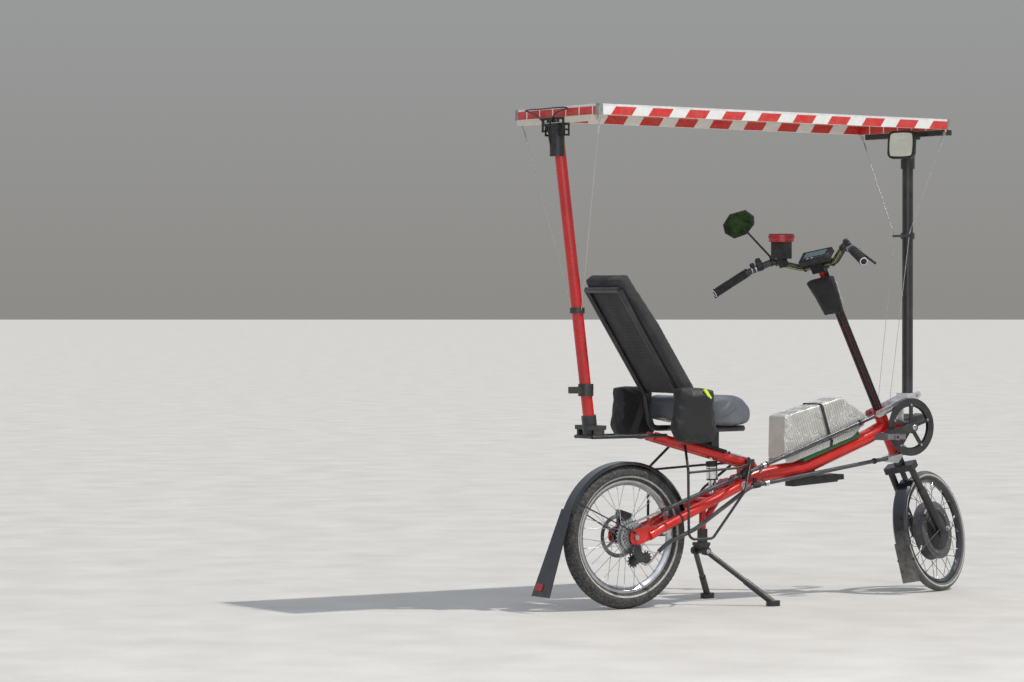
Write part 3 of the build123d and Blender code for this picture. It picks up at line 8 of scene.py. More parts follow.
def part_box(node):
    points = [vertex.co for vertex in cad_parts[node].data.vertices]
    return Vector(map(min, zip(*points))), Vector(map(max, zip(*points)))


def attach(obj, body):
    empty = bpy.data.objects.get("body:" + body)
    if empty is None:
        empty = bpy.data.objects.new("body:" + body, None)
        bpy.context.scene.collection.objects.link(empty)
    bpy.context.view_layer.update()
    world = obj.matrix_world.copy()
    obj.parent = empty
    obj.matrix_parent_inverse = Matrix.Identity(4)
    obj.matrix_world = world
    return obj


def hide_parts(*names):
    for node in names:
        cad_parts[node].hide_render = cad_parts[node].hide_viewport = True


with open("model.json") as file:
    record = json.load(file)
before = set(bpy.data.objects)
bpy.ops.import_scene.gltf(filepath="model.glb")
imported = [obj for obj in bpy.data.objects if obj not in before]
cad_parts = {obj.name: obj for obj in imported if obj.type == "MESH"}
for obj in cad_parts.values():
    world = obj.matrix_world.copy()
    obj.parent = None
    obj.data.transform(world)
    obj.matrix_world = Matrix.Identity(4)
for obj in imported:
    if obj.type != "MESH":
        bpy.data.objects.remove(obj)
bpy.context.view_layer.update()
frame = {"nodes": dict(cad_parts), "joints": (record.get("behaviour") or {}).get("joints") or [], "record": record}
nodes = frame["nodes"]

# Places
# Bicycle coordinates in millimetres: X forward from the rear axle, Y to the left, Z up
FORWARD = Vector((1, 0, 0))
LEFT = Vector((0, 1, 0))
UP = Vector((0, 0, 1))
hub_low, hub_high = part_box("rear_hub")
ORIGIN = (hub_low + hub_high) / 2 - UP * 0.264


def at(x, y, z):
    return ORIGIN + Vector((x, y, z)) / 1000


joints = {joint["name"]: joint for joint in frame["joints"]}
STEER_ORIGIN = Vector(joints["steering_turn"]["pos_m"])
STEER_UP = Vector(joints["steering_turn"]["axis"]).normalized()
TURN = math.radians(23)
RAKE = math.radians(27)
STEER_X = Vector((math.cos(TURN) * math.cos(RAKE), math.sin(TURN), math.cos(TURN) * math.sin(RAKE)))
STEER_Y = STEER_UP.cross(STEER_X).normalized()
STEER = Matrix((STEER_X, STEER_Y, STEER_UP)).transposed()


def steer_dir(x, y, z):
    return STEER @ Vector((x, y, z))


def steer(x, y, z):
    """Point of the steering frame: X forward, Y left, Z along the steering axis."""
    return STEER_ORIGIN + STEER @ (Vector((x, y, z)) / 1000)


# Each wheel: hub, axle direction, forward and up
REAR = (Vector(joints["rear_wheel_spin"]["pos_m"]), LEFT, FORWARD, UP)
FRONT = (Vector(joints["front_wheel_spin"]["pos_m"]), STEER_Y, STEER_X, STEER_UP)
FRONT_DROP = ((FRONT[0] - STEER_ORIGIN).dot(STEER_UP)) * 1000

# Camera
camera_data = bpy.data.cameras.new("camera")
camera_data.lens = 122.3
camera_data.sensor_width = 36
camera = bpy.data.objects.new("camera", camera_data)
bpy.context.scene.collection.objects.link(camera)
camera.location = at(-7262, -10429, 1128)
view_direction = Vector((0.5446, 0.8387, -math.tan(math.radians(0.675))))
camera.rotation_euler = view_direction.to_track_quat("-Z", "Y").to_euler()
camera_data.clip_end = 200
bpy.context.scene.camera = camera


# Materials
class Value:
    """Number or colour in a material's node tree."""

    def __init__(self, shader, socket):
        self.shader = shader
        self.socket = socket

    def math(self, operation, other=None):
        made = self.shader.node("ShaderNodeMath", operation=operation)
        self.shader.link(self, made.inputs[0])
        if isinstance(other, Value):
            self.shader.link(other, made.inputs[1])
        elif other is not None:
            made.inputs[1].default_value = other
        return Value(self.shader, made.outputs[0])

    def __add__(self, other):
        return self.math("ADD", other)

    def __sub__(self, other):
        return self.math("SUBTRACT", other)

    def __mul__(self, other):
        return self.math("MULTIPLY", other)

    def __truediv__(self, other):
        return self.math("DIVIDE", other)

    def __gt__(self, other):
        return self.math("GREATER_THAN", other)

    def __lt__(self, other):
        return self.math("LESS_THAN", other)


class Shader:
    """Principled material with noise-driven colour, roughness and bump in object coordinates."""

    def __init__(self, name):
        self.material = bpy.data.materials.new(name)
        self.material.use_nodes = True
        self.tree = self.material.node_tree
        self.tree.nodes.clear()
        out = self.node("ShaderNodeOutputMaterial")
        self.bsdf = self.node("ShaderNodeBsdfPrincipled")
        self.link(self.bsdf.outputs[0], out.inputs[0])
        self.coord = self.node("ShaderNodeTexCoord").outputs["Object"]

    def node(self, kind, **values):
        made = self.tree.nodes.new(kind)
        for key, value in values.items():
            setattr(made, key, value)
        return made

    def link(self, source, target):
        self.tree.links.new(source.socket if isinstance(source, Value) else source, target)

    def split(self, vector):
        made = self.node("ShaderNodeSeparateXYZ")
        self.link(vector, made.inputs[0])
        return [Value(self, socket) for socket in made.outputs]

    def normal(self):
        return self.split(self.node("ShaderNodeNewGeometry").outputs["Normal"])

    def stretched(self, scale):
        mapping = self.node("ShaderNodeMapping")
        mapping.inputs["Scale"].default_value = scale
        self.link(self.coord, mapping.inputs[0])
        return mapping.outputs[0]

    def noise(self, scale, detail, stretch=None, rough=0.55):
        made = self.node("ShaderNodeTexNoise")
        made.inputs["Scale"].default_value = scale
        made.inputs["Detail"].default_value = detail
        made.inputs["Roughness"].default_value = rough
        self.link(self.stretched(stretch) if stretch else self.coord, made.inputs[0])
        return Value(self, made.outputs["Fac"])

    def ramp(self, factor, stops):
        made = self.node("ShaderNodeValToRGB")
        elements = made.color_ramp.elements
        while len(elements) < len(stops):
            elements.new(0.5)
        for element, (place, colour) in zip(elements, stops):
            element.position = place
            element.color = (*colour, 1) if isinstance(colour, tuple) else (colour, colour, colour, 1)
        self.link(factor, made.inputs[0])
        return Value(self, made.outputs[0])

    def tone(self, grain, dark, light, low=0.3, high=0.7, detail=6):
        """Slow change between two colours or values."""
        return self.ramp(self.noise(grain, detail), ((low, dark), (high, light)))

    def vector(self, operation, a, b=None):
        made = self.node("ShaderNodeVectorMath", operation=operation)
        self.link(a, made.inputs[0])
        if b is not None:
            made.inputs[1].default_value = b
        return Value(self, made.outputs["Vector" if operation == "SUBTRACT" else "Value"])

    def mix(self, factor, a, b):
        made = self.node("ShaderNodeMix", data_type="RGBA")
        for socket, value in ((made.inputs[0], factor), (made.inputs[6], a), (made.inputs[7], b)):
            if isinstance(value, tuple):
                socket.default_value = (*value, 1)
            else:
                self.link(value, socket)
        return Value(self, made.outputs[2])

    def bump(self, height, strength, distance):
        made = self.node("ShaderNodeBump")
        made.inputs["Strength"].default_value = strength
        made.inputs["Distance"].default_value = distance
        self.link(height, made.inputs["Height"])
        self.link(made.outputs[0], self.bsdf.inputs["Normal"])

    def finish(self, colour, low, high, grain, metallic=0, coat=0, factor=None):
        """Material with its colour and with roughness that varies from low to high."""
        self.link(colour, self.bsdf.inputs["Base Color"])
        made = self.node("ShaderNodeMapRange")
        for key, value in (("From Min", 0.3), ("From Max", 0.7), ("To Min", low), ("To Max", high)):
            made.inputs[key].default_value = value
        self.link(factor or self.noise(grain, 5), made.inputs[0])
        self.link(made.outputs[0], self.bsdf.inputs["Roughness"])
        self.bsdf.inputs["Metallic"].default_value = metallic
        self.bsdf.inputs["Coat Weight"].default_value = coat
        return self.material


def plain(name, dark, light, grain, rough, metallic=0, bump=0, bump_grain=300, coat=0):
    """Finish with slow colour variation, varied roughness and a fine bump."""
    shader = Shader(name)
    if bump:
        shader.bump(shader.noise(bump_grain, 3), bump, 0.0004)
    return shader.finish(shader.tone(grain, dark, light, 0.35, 0.68), *rough, grain * 1.7, metallic, coat)


def dusty(name, dark, light, amount, rough, metallic=0, coat=0):
    """Painted finish with fine specks and patches of dust."""
    shader = Shader(name)
    specks = shader.tone(160, 0, 1, 0.52, 0.78, 8)
    patches = shader.tone(14, 0, 1, 0.42, 0.75, 5)
    colour = shader.mix((specks + patches) * amount, shader.tone(9, dark, light), (0.36, 0.32, 0.27))
    shader.bump(shader.noise(420, 3), 0.05, 0.0003)
    return shader.finish(colour, *rough, 26, metallic, coat)


def column_material():
    """Red column tube, black from just below the bar clamp upwards."""
    shader = Shader("column_paint")
    red = shader.tone(9, (0.44, 0.006, 0.008), (0.58, 0.011, 0.012))
    top = shader.vector("DOT_PRODUCT", shader.coord, STEER_UP) > STEER_UP.dot(steer(0, 0, 604))
    return shader.finish(shader.mix(top, red, (0.012, 0.012, 0.013)), 0.24, 0.36, 26, coat=0.2)


CREAM = (0.62, 0.57, 0.47)
BEAM_UNDER_Z = 1.7645


def head_material():
    """Black mast heads, with the rear cross beam in the roof's cream."""
    shader = Shader("mast_head_paint")
    base = shader.tone(40, (0.012, 0.012, 0.013), (0.028, 0.028, 0.03))
    x, _, z = shader.split(shader.coord)
    beam = (x < ORIGIN.x) * (z > ORIGIN.z + BEAM_UNDER_Z)
    return shader.finish(shader.mix(beam, base, CREAM), 0.35, 0.5, 40)


def mudguard_material():
    """Smoky glossy shell, scuffed and dusty towards the lower end of the front one."""
    shader = Shader("mudguard_plastic")
    base = shader.tone(7, (0.006, 0.007, 0.009), (0.015, 0.017, 0.022), detail=5)
    x, _, z = shader.split(shader.coord)
    low = shader.node("ShaderNodeMapRange")
    low.inputs["From Min"].default_value = 0.3
    low.inputs["From Max"].default_value = 0.06
    shader.link(z, low.inputs[0])
    dust = shader.tone(30, 0.15, 1, 0.35, 0.7, 8) * Value(shader, low.outputs[0])
    dust = dust * ((x > ORIGIN.x + 0.6) * 0.65 + 0.12)
    shader.bump(shader.noise(120, 4), 0.06, 0.0005)
    colour = shader.mix(dust, base, (0.3, 0.28, 0.25))
    return shader.finish(colour, 0.16, 0.5, None, coat=0.4, factor=dust * 0.45 + 0.35)


def axle_distance(shader, wheel):
    """Distance of a surface point from a wheel's axle, in metres."""
    offset = shader.vector("SUBTRACT", shader.coord, wheel[0])
    along = shader.vector("DOT_PRODUCT", offset, wheel[1]).math("POWER", 2)
    return (shader.vector("LENGTH", offset).math("POWER", 2) - along).math("SQRT")


def motor_material():
    """Hub motor cover: a dusty grey outer ring round a darker middle."""
    shader = Shader("motor_cover")
    middle = shader.tone(12, (0.018, 0.018, 0.02), (0.04, 0.04, 0.043))
    edge = shader.tone(16, (0.075, 0.075, 0.078), (0.135, 0.132, 0.128))
    colour = shader.mix(axle_distance(shader, FRONT) > 0.079, middle, edge)
    return shader.finish(colour, 0.36, 0.55, 26, 0.3)


def tyre_material(name, wheel, band_low, band_high, dark, light):
    """Rubber with a pale reflective band on the sidewall and dust on the tread."""
    shader = Shader(name)
    radius = axle_distance(shader, wheel)
    worn = (radius > band_low) * (radius < band_high) * shader.tone(90, 0.55, 1, 0.3, 0.6)
    banded = shader.mix(worn, shader.tone(26, dark, light), (0.5, 0.49, 0.45))
    shader.bump(shader.noise(500, 3), 0.12, 0.0004)
    dust = shader.tone(120, 0, 0.5, 0.45, 0.8, 8)
    return shader.finish(shader.mix(dust, banded, (0.26, 0.24, 0.21)), 0.62, 0.85, 60)


ROOF_MIDDLE_X = 0.51
ROOF_UNDER_Z = 1.78
ROOF_FALL = 12 / 1620
TAPE_HEIGHT = 0.03
STRIPE_PITCH = 0.162
STRIPE_RED = 0.56
STRIPE_CENTRE = 1.267
STRIPE_LEAN = 0.73
SAFETY_RED = (0.62, 0.022, 0.018)
TAPE_WHITE = (0.82, 0.81, 0.79)
WHOLE_TURNS = 40


def roof_frame_material():
    """Aluminium roof edge with red and white tape along its sides and a cream underside."""
    shader = Shader("roof_tape")
    x, y, z = shader.split(shader.coord)
    along = x - ORIGIN.x
    height = z - (ORIGIN.z + ROOF_UNDER_Z) - (along - ROOF_MIDDLE_X) * -ROOF_FALL
    place = along - STRIPE_CENTRE - (height - TAPE_HEIGHT / 2) * STRIPE_LEAN
    red = (place / STRIPE_PITCH + (STRIPE_RED / 2 + WHOLE_TURNS)).math("FRACT") < STRIPE_RED
    taped = height < TAPE_HEIGHT
    face_x, face_y, face_z = shader.normal()
    aluminium = shader.tone(30, (0.66, 0.66, 0.65), (0.8, 0.8, 0.79), detail=5)
    tape = shader.mix(red, TAPE_WHITE, SAFETY_RED)
    body = shader.mix((face_y.math("ABSOLUTE") > 0.5) * taped, aluminium, tape)
    seam = (y * (1 / 0.085) + WHOLE_TURNS).math("FRACT") < 0.07
    body = shader.mix((face_x < -0.5) * taped, body, shader.mix(seam, SAFETY_RED, TAPE_WHITE))
    body = shader.mix(face_z < -0.5, body, shader.tone(12, CREAM, (0.74, 0.69, 0.58), detail=5))
    wear = shader.tone(60, 0.86, 1, 0.35, 0.65)
    return shader.finish(shader.mix(wear, (0.4, 0.36, 0.31), body), 0.3, 0.48, 40, coat=0.2)


CELL_X = 1.576 / 12
CELL_Y = 0.496 / 4
FINGER_PITCH = 0.0155


def roof_panel_material():
    """Dark blue solar cells with cut corners on a white sheet, cream seen from below."""
    shader = Shader("solar_cells")
    x, y, _ = shader.split(shader.coord)
    column, row = (
        (((axis - middle) / pitch + WHOLE_TURNS).math("FRACT") - 0.5).math("ABSOLUTE")
        for axis, pitch, middle in ((x, CELL_X, ROOF_MIDDLE_X + ORIGIN.x), (y, CELL_Y, ORIGIN.y)))
    cell = (column.math("MAXIMUM", row) < 0.488) * (column + row < 0.91)
    finger = (y * (1 / FINGER_PITCH)).math("FRACT") < 0.05
    silicon = shader.tone(9, (0.01, 0.016, 0.05), (0.022, 0.034, 0.095), detail=5)
    silicon = shader.mix(finger, silicon, (0.3, 0.33, 0.4))
    top = shader.mix(cell, (0.72, 0.73, 0.74), silicon)
    cream = shader.tone(14, (0.6, 0.55, 0.45), (0.72, 0.67, 0.56), detail=5)
    return shader.finish(shader.mix(shader.normal()[2] < -0.5, top, cream), 0.1, 0.24, 18, coat=0.5)


def woven(name, dark, light, threads, rough=(0.7, 0.9)):
    """Woven fabric: two crossed thread waves with slow colour variation."""
    shader = Shader(name)
    waves = []
    for stretch in ((1, 0.35, 1), (0.35, 1, 0.5)):
        wave = shader.node("ShaderNodeTexWave")
        wave.inputs["Scale"].default_value = threads / 6.28
        wave.inputs["Distortion"].default_value = 0.6
        shader.link(shader.stretched(stretch), wave.inputs[0])
        waves.append(Value(shader, wave.outputs["Fac"]))
    weave = waves[0] * waves[1]
    shader.bump(weave, 0.25, 0.0006)
    shader.bsdf.inputs["Sheen Weight"].default_value = 0.05
    base = shader.tone(11, dark, light)
    return shader.finish(shader.mix(weave * 0.5, base, tuple(value * 1.7 for value in light)), *rough, 50)


FOIL_LEAN = 0.34
FOIL_ROW = 0.0062
FOIL_CELL = 0.0105


def foil_material():
    """Silvery foil under a fine net, with painted highlights along its creases and a cream rear end."""
    shader = Shader("bubble_foil")
    place = shader.node("ShaderNodeVectorRotate", rotation_type="Y_AXIS")
    shader.link(shader.coord, place.inputs["Vector"])
    place.inputs["Angle"].default_value = FOIL_LEAN
    x, y, z = shader.split(place.outputs[0])
    rows = ((z + 9) / FOIL_ROW).math("FRACT")
    cells = ((x + y * 0.8 + 9) / FOIL_CELL).math("FRACT")
    net = (rows < 0.34).math("MAXIMUM", cells < 0.22)
    tone = shader.tone(16, (0.26, 0.25, 0.24), (0.44, 0.43, 0.41))
    base = shader.mix(net, tone, shader.tone(9, (0.56, 0.54, 0.5), (0.78, 0.76, 0.71)))
    folds = shader.noise(15, 3, (1, 0.5, 0.7), 0.6)
    # Painted highlight: near-white lines where the creased foil would catch the light.
    crease_highlight = shader.ramp(folds, ((0.485, 0), (0.5, 1), (0.515, 0)))
    base = shader.mix(crease_highlight * 0.7, base, (0.84, 0.83, 0.8))
    shader.bump(net, 0.35, 0.0006)
    rear = (shader.normal()[0] < -0.6) * 0.7
    return shader.finish(shader.mix(rear, base, (0.66, 0.62, 0.54)), 0.34, 0.55, 34, 0.35)


# Finishes: dark and light tone, grain, roughness, metal, bump and its grain
black_satin = dusty("black_anodised", (0.016, 0.016, 0.018), (0.036, 0.036, 0.04), 0.06, (0.28, 0.42), 0.55)
steel = plain("steel", (0.42, 0.42, 0.43), (0.62, 0.62, 0.63), 60, (0.22, 0.38), 1, 0.08, 500)
bright = plain("polished_steel", (0.62, 0.62, 0.63), (0.78, 0.78, 0.79), 40, (0.1, 0.22), 1)
rubber = plain("rubber", (0.01, 0.01, 0.011), (0.028, 0.028, 0.029), 50, (0.62, 0.82), 0, 0.15, 700)
cable_black = plain("cable_jacket", (0.008, 0.008, 0.01), (0.022, 0.022, 0.026), 80, (0.28, 0.4))
plastic = plain("black_plastic", (0.012, 0.012, 0.013), (0.03, 0.03, 0.032), 40, (0.42, 0.6), 0,
                0.1, 900)
foil = foil_material()
motor_grey = motor_material()
seat_leather = plain("seat_cover", (0.08, 0.088, 0.102), (0.125, 0.136, 0.155), 6, (0.32, 0.46), 0,
                     0.08, 520)
seat_mesh = woven("seat_mesh", (0.014, 0.014, 0.015), (0.04, 0.04, 0.042), 700)
bag_cloth = woven("bag_cloth", (0.004, 0.004, 0.005), (0.012, 0.012, 0.014), 1000, (0.5, 0.7))
pouch_cloth = woven("pouch_cloth", (0.006, 0.006, 0.007), (0.018, 0.018, 0.02), 1100)
webbing = woven("webbing", (0.01, 0.01, 0.011), (0.026, 0.026, 0.028), 1500)
yellow_tab = plain("yellow_tab", (0.62, 0.74, 0.02), (0.78, 0.9, 0.06), 60, (0.5, 0.7))
white_reflector = plain("white_reflector", (0.74, 0.75, 0.76), 0.9, 200, (0.2, 0.35))
lid_red = dusty("lid_red", (0.3, 0.005, 0.005), (0.44, 0.011, 0.009), 0.04, (0.25, 0.4), coat=0.4)
mirror_face = plain("mirror_face", (0.7, 0.74, 0.72), (0.78, 0.82, 0.8), 8, (0.03, 0.08), 1)
# Bar mirror glass: its dark green colour is a painted reflection, not a metal mirror.
mirror_painted_reflection = plain("mirror_painted_reflection", (0.012, 0.03, 0.008), (0.05, 0.085, 0.03), 26, (0.03, 0.08), coat=0.5)
green_line = plain("green_line", (0.4, 0.52, 0.03), (0.55, 0.68, 0.06), 60, (0.4, 0.6))
screen_face = plain("display_glass", (0.04, 0.095, 0.09), (0.065, 0.14, 0.13), 20, (0.08, 0.16), coat=0.5)
button_white = plain("button_white", 0.55, 0.72, 100, (0.3, 0.5))
white_mark = plain("white_ring", 0.6, 0.78, 90, (0.4, 0.6))
pad_foam = plain("pad_foam", 0.01, 0.024, 90, (0.8, 0.95), 0, 0.4, 700)
grey_pedal = dusty("pedal_grey", (0.13, 0.13, 0.14), (0.21, 0.21, 0.22), 0.18, (0.4, 0.6), 0.3)
cap_grey = plain("corner_cap", (0.2, 0.2, 0.21), (0.3, 0.3, 0.31), 50, (0.45, 0.6))
rear_rubber = tyre_material("rear_rubber", REAR, 0.2165, 0.2225, 0.02, 0.047)
front_rubber = tyre_material("front_rubber", FRONT, 0.215, 0.2205, 0.06, 0.11)

# Finish of each material slot, and of the nodes that differ from their slot
SLOT_FINISHES = {
    "frame_red": dusty("frame_paint", (0.52, 0.01, 0.006), (0.66, 0.018, 0.01), 0.05, (0.22, 0.36), 0,
                       0.25),
    "black_metal": dusty("black_paint", (0.008, 0.008, 0.009), (0.018, 0.018, 0.02), 0.08, (0.3, 0.48),
                         0, 0.2),
    "alloy": plain("rim_alloy", (0.46, 0.47, 0.48), (0.62, 0.63, 0.64), 30, (0.25, 0.42), 1, 0.05, 600),
    "grey_plastic": plain("chain_tube", (0.03, 0.032, 0.036), (0.065, 0.068, 0.075), 22, (0.12, 0.22), 0,
                          0.05, 300, 0.6),
    "green_plastic": dusty("green_tray", (0.004, 0.08, 0.022), (0.01, 0.125, 0.038), 0.06, (0.3, 0.5)),
    "red_tube": dusty("mast_paint", (0.44, 0.006, 0.008), (0.58, 0.011, 0.012), 0.03, (0.24, 0.34), coat=0.2),
    "wire": plain("stay_wire", (0.45, 0.45, 0.46), (0.68, 0.68, 0.69), 300, (0.25, 0.4), 1),
    "steel": steel, "dark_alloy": black_satin, "tyre": rubber, "rubber": rubber, "black_plastic": plastic,
    "smoke_plastic": mudguard_material(), "display_plastic": plastic, "foil": foil,
    "seat_skin": seat_leather, "mesh_fabric": seat_mesh, "bag_fabric": bag_cloth, "mirror_glass": plastic,
    "roof_stripes": roof_frame_material(), "roof_cells": roof_panel_material(),
}
NODE_FINISHES = {
    "front_hub_motor": motor_grey, "column_cables": cable_black, "steering_column": column_material(),
    "front_rim": dusty("dark_rim", (0.02, 0.021, 0.024), (0.045, 0.047, 0.052), 0.1, (0.1, 0.24), 0.6, 0.5),
    "mast_rails": dusty("rail_alloy", (0.62, 0.63, 0.64), (0.8, 0.8, 0.8), 0.12, (0.22, 0.42), 0.85),
    "mast_heads": head_material(), "pedal_right": grey_pedal, "pedal_left": grey_pedal, "rear_shock": bright,
}
for part in frame["record"]["subparts"]:
    node_mesh = nodes[part["node"]].data
    node_mesh.materials.clear()
    node_mesh.materials.append(NODE_FINISHES.get(part["node"], SLOT_FINISHES[part["material_slot"]]))


# Mesh helpers
def ring_faces(rows, count, closed=False, turn=-1):
    """Faces between rings of count points each, closed to a loop or with a cap at both ends."""
    faces = []
    for row in range(rows if closed else rows - 1):
        following = (row + 1) % rows
        for step in range(count):
            other = (step + 1) % count
            faces.append((row * count + step, row * count + other,
                          following * count + other, following * count + step))
    if not closed:
        first = tuple(range(count))
        last = tuple(range((rows - 1) * count, rows * count))
        faces += [first[::turn], last[::-turn]]
    return faces


def sharpen(mesh, angle):
    """Keeps edges sharp where faces meet at more than the angle in degrees."""
    tool = bmesh.new()
    tool.from_mesh(mesh)
    limit = math.radians(angle)
    for edge in tool.edges:
        edge.smooth = not (len(edge.link_faces) == 2 and edge.calc_face_angle(0) > limit)
    tool.to_mesh(mesh)
    tool.free()


def add_mesh(name, verts, faces, body, material, angle=None):
    """Smooth-shaded piece on a body, with sharp edges above the angle if one is given."""
    mesh = bpy.data.meshes.new(name)
    mesh.from_pydata([tuple(vert) for vert in verts], [], faces)
    mesh.validate()
    mesh.update()
    piece = bpy.data.objects.new(name, mesh)
    bpy.context.scene.collection.objects.link(piece)
    tool = bmesh.new()
    tool.from_mesh(mesh)
    bmesh.ops.recalc_face_normals(tool, faces=tool.faces)
    tool.to_mesh(mesh)
    tool.free()
    for polygon in mesh.polygons:
        polygon.use_smooth = True
    mesh.materials.append(material)
    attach(piece, body)
    if angle:
        sharpen(mesh, angle)
    return piece


def apply_modifiers(piece):
    """Bakes the piece's modifiers into its mesh."""
    graph = bpy.context.evaluated_depsgraph_get()
    baked = bpy.data.meshes.new_from_object(piece.evaluated_get(graph))
    piece.modifiers.clear()
    piece.data = baked
    for polygon in baked.polygons:
        polygon.use_smooth = True


def subdivide(piece):
    modifier = piece.modifiers.new("smooth", "SUBSURF")
    modifier.levels = 1
    modifier.render_levels = 1
    apply_modifiers(piece)


def even_mesh(piece, voxel, rounds, height):
    """Remeshes a piece evenly, rounds it off and moves its points out by their height in metres."""
    remesh = piece.modifiers.new("even", "REMESH")
    remesh.mode = "VOXEL"
    remesh.voxel_size = voxel
    apply_modifiers(piece)
    tool = bmesh.new()
    tool.from_mesh(piece.data)
    for _ in range(rounds):
        bmesh.ops.smooth_vert(tool, verts=tool.verts, factor=0.5, use_axis_x=True, use_axis_y=True,
                              use_axis_z=True)
    tool.normal_update()
    for vert in tool.verts:
        vert.co += vert.normal * height(vert)
    tool.to_mesh(piece.data)
    tool.free()


def basis(axis):
    """Two directions square to an axis and to each other."""
    axis = axis.normalized()
    side = axis.cross(UP if abs(axis.z) < 0.9 else FORWARD).normalized()
    return side, axis.cross(side).normalized()


def circle(centre, side, up, radius, count):
    """Points round a centre in metres, at a radius in millimetres."""
    angles = [2 * math.pi * step / count for step in range(count)]
    return [centre + (side * math.cos(angle) + up * math.sin(angle)) * radius / 1000 for angle in angles]


def neighbours(points):
    """Each point of a closed line with the ones before and after it."""
    return zip(points[-1:] + points[:-1], points, points[1:] + points[:1])


def round_corner(before, corner, after, reach, count):
    """Points of a soft bend that starts and ends at a distance from the corner."""
    first = corner + (before - corner).normalized() * reach
    last = corner + (after - corner).normalized() * reach
    times = [number / (count - 1) for number in range(count)]
    return [first * (1 - t) ** 2 + corner * 2 * t * (1 - t) + last * t * t for t in times]


def smooth_curve(points, steps, closed=False):
    """Catmull-Rom points through the given ones."""
    result = []
    total = len(points)
    for index in range(total if closed else total - 1):
        p1 = points[index]
        p2 = points[(index + 1) % total]
        p0 = points[index - 1] if (index or closed) else p1 * 2 - p2
        p3 = points[(index + 2) % total] if (closed or index + 2 < total) else p2 * 2 - p1
        for step in range(steps):
            t = step / steps
            result.append(0.5 * ((2 * p1) + (p2 - p0) * t + (2 * p0 - 5 * p1 + 4 * p2 - p3) * t * t
                                 + (3 * p1 - p0 - 3 * p2 + p3) * t ** 3))
    if not closed:
        result.append(points[-1].copy())
    return result


batches = []


class Batch:
    """Collects small shapes into one piece: places in metres, sizes in millimetres."""

    def __init__(self, *looks):
        """Takes the piece's name, body, material and slot; the slot is not used."""
        self.looks = looks
        batches.append(self)
        self.verts = []
        self.faces = []

    def add(self, verts, faces):
        start = len(self.verts)
        self.verts.extend(verts)
        self.faces.extend([tuple(index + start for index in face) for face in faces])

    def lathe(self, centre, axis, profile, count):
        """Closed turned shape from (distance along the axis, radius) pairs."""
        side, up = basis(axis)
        axis = axis.normalized()
        verts = []
        for distance, radius in profile:
            verts += circle(centre + axis * distance / 1000, side, up, radius, count)
        self.add(verts, ring_faces(len(profile), count, turn=1))

    def collar(self, centre, axis, inner, outer, width, bevel, count):
        """Ring with bevelled edges, from its first face along the axis."""
        self.lathe(centre, axis, [(0, inner), (bevel, outer), (width - bevel, outer), (width, inner)], count)

    def bolt(self, centre, axis, radius, height):
        """Button-head screw with a hex socket, its seat at centre."""
        rows = ((0.45, 1), (0.85, 0.86), (1, 0.62), (1, 0.46), (0.3, 0.44))
        profile = [(-0.6, radius * 0.98), *((height * rise, radius * size) for rise, size in rows)]
        self.lathe(centre, axis, profile, 12)

    def tube(self, points, radius, count, closed=False):
        """Round tube along points."""
        total = len(points)
        verts = []
        normal = None
        for index, point in enumerate(points):
            before = points[index - 1] if (index or closed) else point
            after = points[(index + 1) % total] if (index < total - 1 or closed) else point
            tangent = (after - before).normalized()
            if normal is None:
                normal = basis(tangent)[0]
            normal = (normal - tangent * normal.dot(tangent)).normalized()
            verts += circle(point, normal, tangent.cross(normal), radius, count)
        self.add(verts, ring_faces(total, count, closed))

    def block(self, centre, axes, size):
        """Box about centre along three axes, with small chamfers on its long edges."""
        x, y, z = (axis.normalized() for axis in axes)
        a, b, c = (value / 2000 for value in size)
        cut = min(a, b) * 0.18
        ring = [(a - cut, b), (a, b - cut), (a, -b + cut), (a - cut, -b), (-a + cut, -b),
                (-a, -b + cut), (-a, b - cut), (-a + cut, b)]
        verts = [centre + x * u + y * v + z * height for height in (-c, c) for u, v in ring]
        self.add(verts, ring_faces(2, len(ring)))


# Tyres and wheels
TYRE_SEAT = 206.2
TREAD_CUT = 1.2
TYRE_ROWS = 44


def wheel_point(wheel, radius, angle, side):
    hub, axis, forward, up = wheel
    return hub + (forward * math.cos(angle) + up * math.sin(angle)) * radius / 1000 + axis * side / 1000


def wheel_tyre(node, body, wheel, outer, section, knobs, material):
    """Tyre turned about its axle, with an angled block tread cut into its crown."""
    middle = outer - section
    reach = math.acos((TYRE_SEAT - middle) / section)
    turns = knobs * 8
    verts = []
    for step in range(turns):
        angle = 2 * math.pi * step / turns
        for row in range(TYRE_ROWS + 1):
            lean = -reach + 2 * reach * row / TYRE_ROWS
            wave = math.sin(knobs * angle + 5 * abs(lean))
            grooved = (wave > 0.45 and abs(lean) > 0.16) or 0.3 < abs(lean) < 0.36
            crown = 1 - (abs(lean) / 0.95) ** 6 > 0.3
            depth = section - (TREAD_CUT if grooved and crown else 0)
            verts.append(wheel_point(wheel, middle + depth * math.cos(lean), angle, depth * math.sin(lean)))
    faces = ring_faces(turns, TYRE_ROWS + 1, closed=True)
    piece = add_mesh(f"{node}_tread", verts, faces, body, material, 28)
    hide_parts(node)


RIM_SEAT = 206
SPOKE_LIFT = 1.5


